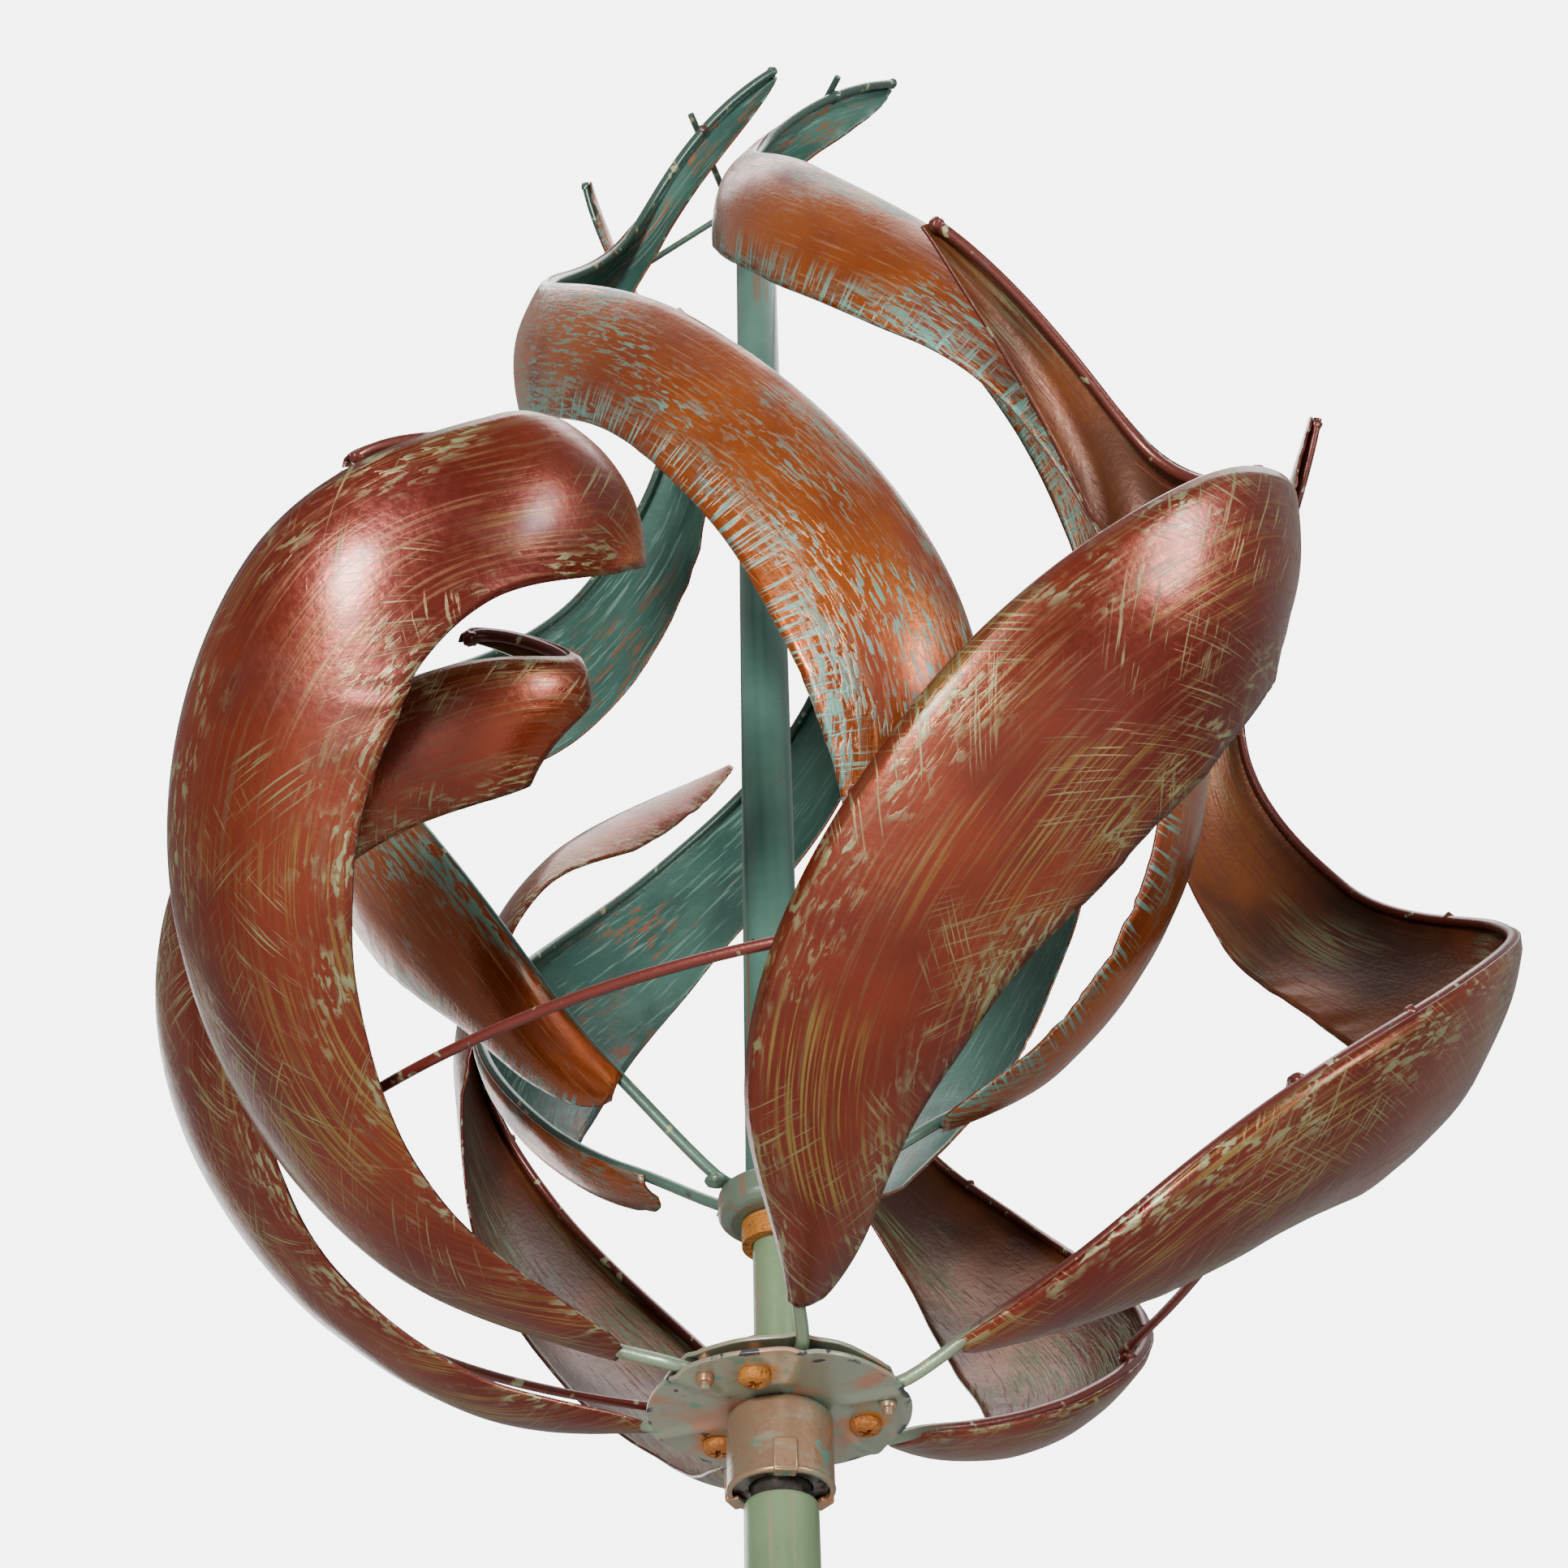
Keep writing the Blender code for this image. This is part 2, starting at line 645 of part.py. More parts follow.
def spoke_points(rod, edge):
    """A straight wire from the tube past the back of a vane's rod, near the vane's tip."""
    spot = rod.at(SPOKE_PLACE)
    radial = Vector((spot.x, spot.y, 0)).normalized()
    aside = radial.cross(rod.tangent(SPOKE_PLACE)).normalized()
    if aside.dot(edge.at(SPOKE_PLACE) - spot) > 0:
        aside = -aside
    end = spot + aside * (ROD_RADIUS + SPOKE_RADIUS + GAP)
    start = Vector((end.x, end.y, 0)).normalized() * (TUBE_RADIUS + GAP + MM)
    start.z = end.z
    return [start, end + (end - start).normalized() * SPOKE_OVERHANG]


def build_inner_rotor(materials, parts):
    """Five vanes of the other hand on a tube that turns on the spindle."""
    hub_top = INNER_HUB_FOOT + INNER_HUB_HEIGHT
    bore = SPINDLE_RADIUS + GAP
    ring("inner_hub", bore, INNER_HUB_RADIUS, INNER_HUB_FOOT, hub_top, materials["hub"], parts)
    tube_bore = TUBE_RADIUS - TUBE_WALL
    teal = materials["teal"]
    ring("inner_tube", tube_bore, TUBE_RADIUS, hub_top + GAP, TUBE_TOP, teal, parts)
    bushing_top = TUBE_TOP - BUSHING_INSET
    bushing_foot = bushing_top - BUSHING_HEIGHT
    steel = materials["steel"]
    ring("top_bushing", bore, tube_bore - GAP, bushing_foot, bushing_top, steel, parts, GAP)
    root_height = hub_top + GAP + ROD_RADIUS
    for number, bend in enumerate(INNER_VANES, 1):
        rod = Line(INNER_ROD, -1, *bend)
        edge = Line(INNER_EDGE, -1, *bend)
        azimuth = bend[0] + INNER_ROOT_TURN
        roots = (TUBE_RADIUS + GAP + ROD_RADIUS, INNER_ROOT_BEND)
        points = [polar(radius, azimuth, root_height) for radius in roots]
        points += [rod.at(along) for along in spread(INNER_FIRST, 1, VANE_STEPS)]
        wire(f"inner_rod_{number}", points, ROD_RADIUS, teal, parts)
        vane_sheet(f"inner_vane_{number}", rod, edge, -1, INNER_FIRST, materials["copper"], parts)
        wire(f"inner_spoke_{number}", spoke_points(rod, edge), SPOKE_RADIUS, teal, parts)


def main():
    clear_scene()
    parts = new_collection("wind_spinner")
    cutters = new_collection("cutters")
    materials = new_materials()
    build_pole(materials, parts)
    build_bearing(materials, parts, cutters)
    build_cup(materials, parts, cutters)
    upper_top = build_plates(materials, parts, cutters)
    for number, azimuth in enumerate(SCREW_AZIMUTHS, 1):
        build_screw(number, azimuth, materials, parts, cutters, upper_top)
    for number, azimuth in enumerate(PIN_AZIMUTHS, 1):
        build_pin(number, azimuth, materials, parts, upper_top)
    build_outer_rotor(materials, parts)
    build_inner_rotor(materials, parts)
    smooth_shade(parts)


main()
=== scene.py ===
import json
import math

import bmesh
import bpy
from mathutils import Matrix, Vector, noise


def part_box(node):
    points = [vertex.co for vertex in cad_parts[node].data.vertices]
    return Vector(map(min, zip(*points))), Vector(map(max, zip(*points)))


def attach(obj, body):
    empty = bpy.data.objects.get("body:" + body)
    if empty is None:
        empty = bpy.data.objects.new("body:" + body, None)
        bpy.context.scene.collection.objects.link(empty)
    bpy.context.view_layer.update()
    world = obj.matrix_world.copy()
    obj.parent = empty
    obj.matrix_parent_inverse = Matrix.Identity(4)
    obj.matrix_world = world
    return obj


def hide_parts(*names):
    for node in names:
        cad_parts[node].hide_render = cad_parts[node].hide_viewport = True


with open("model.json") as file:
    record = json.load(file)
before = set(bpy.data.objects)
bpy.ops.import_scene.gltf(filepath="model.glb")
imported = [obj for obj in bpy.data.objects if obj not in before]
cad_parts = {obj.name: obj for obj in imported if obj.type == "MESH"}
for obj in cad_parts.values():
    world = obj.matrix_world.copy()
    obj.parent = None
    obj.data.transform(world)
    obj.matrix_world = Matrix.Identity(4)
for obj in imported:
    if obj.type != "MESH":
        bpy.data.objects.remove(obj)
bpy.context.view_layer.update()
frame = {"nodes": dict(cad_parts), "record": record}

# The looks of the wind spinner: fine surfaces, patina, welds, light and the camera.
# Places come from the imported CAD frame, and from vane lines and hub sizes that repeat the CAD's.
# Azimuth 0 points along -Y and grows towards +X.

MM = 0.001
OUTER, INNER, MAST = "outer_rotor", "inner_rotor", "mast"

# The underside of the lower hub plate, and the height of the outer rods where they start
HUB = frame["record"]["behaviour"]["joints"][0]["pos_m"][2]
ROD_PLANE = HUB + 3.7 * MM

# The lines of one vane, in equal steps from the hub to the tip: radius (mm), sweep (degrees)
# and height above HUB (mm)
OUTER_ROD = (
    (30, 0, 5),
    (115, -10, 35),
    (200, 5, 105),
    (245, 25, 185),
    (230, 40, 245),
    (195, 40, 310),
    (210, 20, 390),
)
OUTER_EDGE = (
    (30, 10, 5),
    (115, 10, 30),
    (190, 25, 90),
    (215, 37, 160),
    (185, 46, 220),
    (170, 42, 285),
    (200, 10, 362),
)
INNER_ROD = (
    (15, -5, 82),
    (90, -22, 130),
    (145, -10, 220),
    (160, 25, 345),
    (130, 58, 460),
    (80, 63, 565),
    (85, 15, 660),
)
INNER_EDGE = (
    (20, 10, 76),
    (90, 0, 118),
    (145, 12, 190),
    (155, 36, 300),
    (120, 68, 405),
    (75, 72, 520),
    (82, -8, 628),
)

# Each vane's azimuth (degrees), reach and rise (times the lines above), extra twist by the tip
# (degrees), droop of the tip (mm) and how far the tip flares outwards (mm)
OUTER_VANES = (
    (10, 1.05, 0.85, -15, 25, 0),
    (72, 1.12, 1.1, 0, -50, 17),
    (140, 1.07, 1.1, -20, 0, 0),
    (190, 1.07, 1.2, -25, 0, 0),
    (-115, 0.85, 0.66, 65, 80, 0),
    (-62, 1.02, 0.88, 5, 100, 0),
)
INNER_VANES = (
    (12, 1.0, 0.95, -10, 0, 0),
    (75, 1.05, 1.0, 10, 0, 0),
    (145, 0.95, 1.05, 0, 0, 0),
    (-140, 1.0, 1.0, -5, 0, 0),
    (-80, 1.05, 1.05, 5, 0, 0),
)
TIP_POWER = 4
TANGENT_STEP = 0.004

# Rods, and where along its vane's line each sheet and rod starts (0 at the hub, 1 at the tip)
ROD_RADIUS = 2 * MM
OUTER_ROOT_AZIMUTHS = (10, 70, 130, 190, -110, -50)
OUTER_ROOT_RADII = (14, 28, 41)
INNER_ROOT_TURN = 10
INNER_ROOT_BEND = 20 * MM
OUTER_FIRST = 0.07
OUTER_SHEET_FIRST = 0.055
INNER_FIRST = 0.09
LEAD_LAST = 0.16
LEAD_SMOOTHING = 6
RUN_FIRST = 0.17
RUN_STEPS = 110

# Sheets: the cup's depth as a share of the width, the round corner near the hub and the pointed tip
SHEET_THICKNESS = 1.1 * MM
SHEET_COVER = ROD_RADIUS + SHEET_THICKNESS / 2 + 0.1 * MM
CUP_RATIO = 0.13
CORNER_LENGTH = 38 * MM
CORNER_START = 0.45
TIP_LENGTH = 90 * MM
TIP_SHARE = 0.1
TIP_WIDTH = 3 * MM
LIP_DEPTH = 1.3 * MM
LIP_WIDTH = 2.5 * MM
WAVE_SCALE = 22
WAVE_SHARE = 0.035
LONG_STEPS = 190
WIDE_STEPS = 22
UV_SCALE = 10
UV_SHIFT = 3.7

# Unevenness of a sheet: noise scale along and across it (per metre), seed factor and height
BROAD_DENTS = (17, 26, 3.1, 1.1 * MM)
FINE_DENTS = (60, 55, 1.7, 0.22 * MM)
EDGE_CRIMPS = (170, 30, 2.3, 1.5 * MM)

# Braces between rods (places in OUTER_VANES), spokes near the inner tips, and welds
BRACED_VANES = ((5, 0), (3, 4), (1, 2))
BRACE_PLACE = 0.24
BRACE_DIP = 14 * MM
BRACE_RADIUS = 1.7 * MM
BRACE_CLEARANCE = 1.5 * MM
SPOKE_PLACE = 0.92
SPOKE_RADIUS = 1.6 * MM
SPOKE_OVERHANG = 8 * MM
NUB_PLACES = (0.3, 0.56)
TIP_WELD_PLACE = 0.995
LUMP_SCALE = 700
LUMP_SHARE = 0.22

# The hub's plates, with channels pressed out over the rods, and the upper plate's collar
PLATE_THICKNESS = 1.4 * MM
PLATE_BORE = 8.5 * MM
LOWER_PLATE_RADIUS = 40 * MM
UPPER_PLATE_RADIUS = 36 * MM
PLATE_TURNS = 288
PLATE_RINGS = 34
CHANNEL_HEIGHT = 1.0 * MM
CHANNEL_WIDTH = 2.9 * MM
RIM_BEND = 0.7 * MM
RIM_RIPPLE = 0.012
COLLAR_RADIUS = 13 * MM

# The bearing cup with its tabs, each a size across, deep and high
CUP_WALL = 1.6 * MM
CUP_LIP = 0.3 * MM
CUP_ROUND = 3 * MM
TAB_AZIMUTHS = (5, 125, 245)
TAB_SIZE = (7 * MM, 1.5 * MM, 9.5 * MM)
BENT_TAB_SIZE = (6.8 * MM, 4.4 * MM, 1.3 * MM)
SEAL_BORE = 9.3 * MM

# Screws with their crosses and nuts, and pins, whose outline is radius and height above HUB (mm)
SCREW_AZIMUTHS = (-15, 105, 225)
SCREW_CIRCLE = 27 * MM
SCREW_RADIUS = 2 * MM
SCREW_END = 4 * MM
HEAD_RADIUS = 4.9 * MM
HEAD_HEIGHT = 3 * MM
HEAD_RIM = 0.8 * MM
CROSS_FLOOR = 0.4 * MM
CROSS_MOUTH = 1.1 * MM
CROSS_DEPTH = 3.4 * MM
CROSS_STRETCH = (5.2, 1.7, -1)
NUT_RADIUS = 4 * MM
NUT_HEIGHT = 3 * MM
NUT_GAP = 0.3 * MM
PIN_AZIMUTHS = (-41, 79, 199)
PIN_CIRCLE = 33 * MM
PIN_RADIUS = 1.8 * MM
PIN_OUTLINE = (
    (0, -4.5), (1.4, -4.5), (1.8, -4.1), (1.8, -2.3), (2.5, -2.1), (2.8, -0.6), (2.8, 0), (1.8, 0),
)

# The axis's parts
TUBE_WALL = 1.2 * MM
POLE_WALL = 1.5 * MM
POLE_MOUTH = 20 * MM
NECK_RADIUS = 8.9 * MM
TURNING_GAP = 0.3 * MM
PRESSED_GAP = 0.1 * MM

# Each light's name, place (m), diameter (m), power (W) and colour
LIGHTS = (
    ("key", (-0.5, -1.75, 0.42), 0.34, 56, (1, 0.985, 0.96)),
    ("side", (1.6, -1.3, 0.9), 0.5, 26, (1, 0.99, 0.98)),
    ("top", (0.3, 0.4, 3.4), 2.4, 60, (1, 1, 1)),
    ("back", (-1.3, 2.2, 1.6), 1.4, 16, (1, 1, 1)),
)
LIGHT_TARGET = Vector((0, 0, HUB + 0.25))
BACKDROP = (0.93, 0.925, 0.905, 1)
WORLD_LIGHT = 0.4
WORLD_SEEN = 6.5
FLOOR_SIZE = 8

CAMERA_PLACE = (0, -0.614, HUB - 0.299)
CAMERA_PITCH = 90 + 42.1
CAMERA_LEAN = -1.17
CAMERA_SHIFT = 0.011
CAMERA_LENS = 50
CAMERA_SENSOR = 36


# Materials


def add_node(tree, kind, **settings):
    made = tree.nodes.new(kind)
    for key, value in settings.items():
        setattr(made, key, value)
    return made


def math_node(tree, operation, first, second):
    made = add_node(tree, "ShaderNodeMath", operation=operation)
    for socket, value in zip(made.inputs, (first, second)):
        if isinstance(value, (int, float)):
            socket.default_value = value
        else:
            tree.links.new(value, socket)
    return made.outputs[0]


def mapped(tree, value, low, high, to_low=0.0, to_high=1.0):
    """A smooth step from to_low to to_high as the value goes from low to high."""
    made = add_node(tree, "ShaderNodeMapRange", interpolation_type="SMOOTHSTEP")
    tree.links.new(value, made.inputs["Value"])
    names = ("From Min", "From Max", "To Min", "To Max")
    for name, number in zip(names, (low, high, to_low, to_high)):
        made.inputs[name].default_value = number
    return made.outputs["Result"]


def noise_mask(tree, vector, scale, low, high, detail=3.0, shift=0.0, distortion=0.0, turn=0):
    """A mask from noise in stretched and turned coordinates, cut between low and high."""
    if turn:
        turned_map = add_node(tree, "ShaderNodeMapping")
        turned_map.inputs["Rotation"].default_value = (0, 0, math.radians(turn))
        tree.links.new(vector, turned_map.inputs["Vector"])
        vector = turned_map.outputs["Vector"]
    mapping = add_node(tree, "ShaderNodeMapping")
    mapping.inputs["Scale"].default_value = scale
    mapping.inputs["Location"].default_value = (shift, shift * 0.7, shift * 1.3)
    tree.links.new(vector, mapping.inputs["Vector"])
    texture = add_node(tree, "ShaderNodeTexNoise")
    texture.inputs["Scale"].default_value = 1
    texture.inputs["Detail"].default_value = detail
    texture.inputs["Distortion"].default_value = distortion
    tree.links.new(mapping.outputs["Vector"], texture.inputs["Vector"])
    return mapped(tree, texture.outputs["Fac"], low, high)


def mix_colour(tree, factor, first, second):
    made = add_node(tree, "ShaderNodeMix", data_type="RGBA")
    tree.links.new(factor, made.inputs["Factor"])
    # Inputs 6 and 7 and output 2 are the colour ones
    for socket, value in zip((made.inputs[6], made.inputs[7]), (first, second)):
        if isinstance(value, tuple):
            socket.default_value = (*value, 1)
        else:
            tree.links.new(value, socket)
    return made.outputs[2]


class Surface:
    """A Principled material that is built up in layers, each a colour through a mask."""

    def __init__(self, name, first, second, metallic, coat=0.0, uses_run=False):
        """Masks follow the sheet's UV maps if uses_run, or else the place in the object."""
        self.material = bpy.data.materials.new(name)
        self.material.use_nodes = True
        self.tree = self.material.node_tree
        self.shader = self.tree.nodes["Principled BSDF"]
        self.shader.inputs["Metallic"].default_value = metallic
        self.shader.inputs["Coat Weight"].default_value = coat
        self.shader.inputs["Coat Roughness"].default_value = 0.22
        coordinates = add_node(self.tree, "ShaderNodeTexCoord")
        self.place = coordinates.outputs["Object"]
        self.run = self.place
        if uses_run:
            self.run = add_node(self.tree, "ShaderNodeUVMap", uv_map="run").outputs["UV"]
            share = add_node(self.tree, "ShaderNodeUVMap", uv_map="share")
            parts = add_node(self.tree, "ShaderNodeSeparateXYZ")
            self.tree.links.new(share.outputs["UV"], parts.inputs[0])
            self.along, self.across = parts.outputs["X"], parts.outputs["Y"]
        broad = noise_mask(self.tree, self.place, (14, 14, 14), 0.35, 0.68, detail=4)
        self.colour = mix_colour(self.tree, broad, first, second)
        self.cover = None
        self.heights = []

    def layer(self, colour, mask, height=0.0):
        self.colour = mix_colour(self.tree, mask, self.colour, colour)
        if self.cover is None:
            self.cover = mask
        else:
            self.cover = math_node(self.tree, "MAXIMUM", self.cover, mask)
        if height:
            self.heights.append(math_node(self.tree, "MULTIPLY", mask, height))

    def mask(self, scale, low, high, detail=3.0, shift=0.0, distortion=0.0, turn=0):
        return noise_mask(self.tree, self.run, scale, low, high, detail, shift, distortion, turn)

    def both(self, first, second):
        return math_node(self.tree, "MULTIPLY", first, second)

    def finish(self, smooth, rough, grain_scale, grain_height, bump):
        """Roughness goes from smooth to rough under the layers; the bump is grain plus layers."""
        tree = self.tree
        grain = noise_mask(tree, self.place, (grain_scale,) * 3, 0.3, 0.7, detail=5, shift=7.0)
        roughness = math_node(tree, "MULTIPLY_ADD", grain, 0.08)
        roughness.node.inputs[2].default_value = smooth
        if self.cover is not None:
            share = math_node(tree, "MULTIPLY", self.cover, rough - smooth)
            roughness = math_node(tree, "ADD", roughness, share)
        tree.links.new(roughness, self.shader.inputs["Roughness"])
        tree.links.new(self.colour, self.shader.inputs["Base Color"])
        height = math_node(tree, "MULTIPLY", grain, grain_height)
        for other in self.heights:
            height = math_node(tree, "ADD", height, other)
        node = add_node(tree, "ShaderNodeBump")
        node.inputs["Strength"].default_value = bump
        node.inputs["Distance"].default_value = MM
        tree.links.new(height, node.inputs["Height"])
        tree.links.new(node.outputs["Normal"], self.shader.inputs["Normal"])
        return self.material


def near_edges(look):
    """1 along both long edges of a vane and 0 down its middle."""
    middle = math_node(look.tree, "SUBTRACT", look.across, 0.5)
    return mapped(look.tree, math_node(look.tree, "ABSOLUTE", middle, 0), 0.14, 0.46)


def bronze_outside():
    """Dark red-brown lacquer with olive brush strokes and worn edges."""
    look = Surface(
        "bronze_outside", (0.11, 0.009, 0.003), (0.19, 0.026, 0.006), metallic=0.65, coat=0.3,
        uses_run=True,
    )
    # Dark clouds and fine brown streaks
    look.layer((0.085, 0.012, 0.007), look.mask((2.2, 3.0, 1), 0.5, 0.78, detail=4, shift=9))
    look.layer((0.14, 0.045, 0.018), look.mask((3, 70, 1), 0.52, 0.7, detail=4, shift=12), 0.05)
    # Olive brush strokes, more of them near the hub
    low_end = mapped(look.tree, look.along, 0.05, 0.75, 1.0, 0.35)
    zone = look.both(low_end, look.mask((1.6, 2.6, 1), 0.44, 0.64, detail=2, shift=3))
    strokes = look.mask((2.2, 110, 1), 0.5, 0.63, detail=4, shift=1, distortion=0.15)
    look.layer((0.22, 0.14, 0.03), look.both(zone, strokes), 0.25)
    # Grey-green rubs along both edges
    edges = look.both(near_edges(look), look.mask((5, 8, 1), 0.42, 0.62, detail=3, shift=21))
    rubs = look.mask((14, 60, 1), 0.5, 0.6, detail=5, shift=17, distortion=0.6)
    look.layer((0.24, 0.24, 0.12), look.both(edges, rubs), 0.25)
    # Scratches that slant both ways
    for turn in (35, -50):
        scratches = look.mask(
            (4, 120, 1), 0.58, 0.66, detail=4, shift=turn, distortion=0.3, turn=turn
        )
        somewhere = look.mask((1.8, 2.4, 1), 0.48, 0.6, detail=2, shift=turn + 3)
        look.layer((0.21, 0.18, 0.08), look.both(scratches, somewhere), 0.2)
    return look.finish(smooth=0.24, rough=0.42, grain_scale=420, grain_height=0.12, bump=0.35)


def bronze_inside():
    """Dark brown with grey-green strokes in patches and fine red-brown streaks."""
    look = Surface(
        "bronze_inside", (0.045, 0.013, 0.006), (0.15, 0.042, 0.01), metallic=0.3, uses_run=True
    )
    strokes = look.mask((3.6, 80, 1), 0.46, 0.58, detail=5, shift=4, distortion=0.4)
    zone = look.mask((1.4, 2.4, 1), 0.44, 0.66, detail=2, shift=6)
    look.layer((0.11, 0.125, 0.06), look.both(zone, strokes), 0.3)
    look.shader.inputs["Specular IOR Level"].default_value = 0.3
    look.layer((0.09, 0.02, 0.012), look.mask((5, 90, 1), 0.56, 0.68, detail=3, shift=2), 0.1)
    return look.finish(smooth=0.32, rough=0.5, grain_scale=420, grain_height=0.15, bump=0.35)


def copper_outside():
    """Orange copper lacquer with turquoise verdigris along its edges."""
    look = Surface(
        "copper_outside", (0.24, 0.045, 0.006), (0.38, 0.085, 0.008), metallic=0.7, coat=0.25,
        uses_run=True,
    )
    # Brown clouds and pale streaks
    look.layer((0.17, 0.028, 0.007), look.mask((2.4, 4, 1), 0.45, 0.7, detail=4, shift=2))
    streaks = look.mask((4, 90, 1), 0.55, 0.7, detail=4, shift=7, distortion=0.2)
    look.layer((0.3, 0.12, 0.05), streaks, 0.1)
    # Verdigris in patches, most along the edges and a little down the middle
    patches = look.mask((7, 55, 1), 0.47, 0.56, detail=6, shift=3, distortion=0.8)
    zone = look.mask((1.6, 3.4, 1), 0.4, 0.6, detail=3, shift=5)
    look.layer((0.12, 0.26, 0.21), look.both(look.both(near_edges(look), zone), patches), 0.45)
    specks = look.mask((12, 70, 1), 0.54, 0.6, detail=6, shift=13, distortion=0.9)
    look.layer((0.13, 0.24, 0.19), look.both(specks, zone), 0.3)
    # Short hatches across the free edge
    free_edge = mapped(look.tree, look.across, 0.72, 0.95)
    hatches = look.mask((75, 5, 1), 0.54, 0.6, detail=4, shift=1, distortion=0.3)
    look.layer((0.15, 0.3, 0.25), look.both(hatches, free_edge), 0.4)
    return look.finish(smooth=0.22, rough=0.5, grain_scale=420, grain_height=0.12, bump=0.35)


def verdigris_inside():
    """Dark blue-green patina with pale streaks, rubbed to copper in places."""
    look = Surface(
        "verdigris_inside", (0.026, 0.078, 0.062), (0.05, 0.125, 0.098), metallic=0.3, coat=0.15,
        uses_run=True,
    )
    look.layer((0.02, 0.06, 0.05), look.mask((2, 3.5, 1), 0.46, 0.72, detail=4, shift=4))
    streaks = look.mask((4, 70, 1), 0.54, 0.68, detail=5, shift=2, distortion=0.4)
    look.layer((0.1, 0.19, 0.15), streaks, 0.2)
    somewhere = look.mask((1.2, 2, 1), 0.48, 0.66, detail=2, shift=1)
    rubs = look.both(look.mask((7, 40, 1), 0.53, 0.62, detail=5, shift=8), somewhere)
    look.layer((0.17, 0.065, 0.03), rubs, -0.2)
    return look.finish(smooth=0.34, rough=0.5, grain_scale=420, grain_height=0.15, bump=0.3)


def rim_paint(name, colour, rub):
    """The cut edge of a sheet."""
    look = Surface(name, colour, tuple(0.6 * part for part in colour), metallic=0.5, coat=0.2)
    look.layer(rub, look.mask((180, 180, 180), 0.55, 0.64, detail=3, shift=4), 0.2)
    return look.finish(smooth=0.3, rough=0.5, grain_scale=500, grain_height=0.15, bump=0.3)


def painted_tube(name, first, second, rub, shift):
    """Paint on a tube or rod, rubbed through in streaks that run up it, with small dark pits."""
    look = Surface(name, first, second, metallic=0.3, coat=0.25)
    streaks = look.mask((240, 240, 9), 0.56, 0.66, detail=4, shift=shift)
    zone = look.mask((9, 9, 9), 0.48, 0.62, detail=2, shift=shift + 3)
    look.layer(rub, look.both(streaks, zone), -0.2)
    pits = look.mask((420, 420, 420), 0.73, 0.78, detail=2, shift=shift + 5)
    look.layer((0.05, 0.03, 0.025), pits, -0.4)
    return look.finish(smooth=0.32, rough=0.5, grain_scale=500, grain_height=0.12, bump=0.3)


def radial_distance(look):
    """Distance from the rotors' axis, in metres."""
    tree = look.tree
    flat = add_node(tree, "ShaderNodeVectorMath", operation="MULTIPLY")
    flat.inputs[1].default_value = (1, 1, 0)
    tree.links.new(look.place, flat.inputs[0])
    length = add_node(tree, "ShaderNodeVectorMath", operation="LENGTH")
    tree.links.new(flat.outputs[0], length.inputs[0])
    return length.outputs["Value"]


def rod_paint(name, bare, lacquer, start, end):
    """Green near the hub, and the vane's own lacquer from start to end outwards."""
    look = Surface(name, bare, tuple(1.25 * part for part in bare), metallic=0.45, coat=0.3)
    look.layer(lacquer, mapped(look.tree, radial_distance(look), start, end))
    # The lacquer is as smooth as what it covers, so it doesn't count as cover
    look.cover = None
    rubs = look.mask((150, 150, 150), 0.62, 0.68, detail=3, shift=4)
    look.layer((0.3, 0.3, 0.17), rubs, 0.2)
    look.layer((0.06, 0.02, 0.015), look.mask((90, 90, 90), 0.6, 0.75, detail=3, shift=2))
    return look.finish(smooth=0.3, rough=0.5, grain_scale=500, grain_height=0.12, bump=0.3)


def hub_paint():
    """Grey-green paint, rubbed to pink copper, with rust round the screws and chips on the rim."""
    look = Surface(
        "hub_paint", (0.27, 0.24, 0.165), (0.21, 0.245, 0.18), metallic=0.35, coat=0.35
    )
    look.layer((0.36, 0.17, 0.1), look.mask((60, 60, 60), 0.5, 0.66, detail=5, shift=2))
    green = look.mask((130, 130, 130), 0.6, 0.68, detail=4, shift=6)
    look.layer((0.12, 0.23, 0.17), green, 0.1)
    tree = look.tree
    for azimuth in SCREW_AZIMUTHS:
        apart = add_node(tree, "ShaderNodeVectorMath", operation="DISTANCE")
        apart.inputs[1].default_value = polar(SCREW_CIRCLE, azimuth, HUB)
        tree.links.new(look.place, apart.inputs[0])
        halo = mapped(tree, apart.outputs["Value"], 5.5 * MM, 9.5 * MM, 1.0, 0.0)
        blots = look.mask((150, 150, 150), 0.35, 0.6, detail=3, shift=azimuth)
        look.layer((0.42, 0.15, 0.012), look.both(halo, blots), 0.1)
    rim = mapped(tree, radial_distance(look), 37.5 * MM, 39.5 * MM)
    chips = look.mask((150, 150, 150), 0.56, 0.6, detail=5, shift=3)
    look.layer((0.02, 0.022, 0.035), look.both(rim, chips), -0.4)
    pits = look.mask((190, 190, 190), 0.71, 0.74, detail=2, shift=8)
    look.layer((0.03, 0.03, 0.04), pits, -0.4)
    return look.finish(smooth=0.3, rough=0.52, grain_scale=500, grain_height=0.12, bump=0.3)


def cup_paint():
    """Pink copper with grey-green bands, green spots and brown stains."""
    look = Surface("cup_paint", (0.34, 0.15, 0.075), (0.27, 0.19, 0.12), metallic=0.6, coat=0.3)
    look.layer((0.19, 0.2, 0.14), look.mask((40, 40, 260), 0.5, 0.66, detail=4, shift=2))
    spots = look.mask((120, 120, 120), 0.62, 0.7, detail=4, shift=5)
    look.layer((0.1, 0.22, 0.17), spots, 0.1)
    look.layer((0.18, 0.06, 0.03), look.mask((60, 60, 160), 0.62, 0.72, detail=4, shift=9))
    return look.finish(smooth=0.26, rough=0.48, grain_scale=500, grain_height=0.12, bump=0.3)


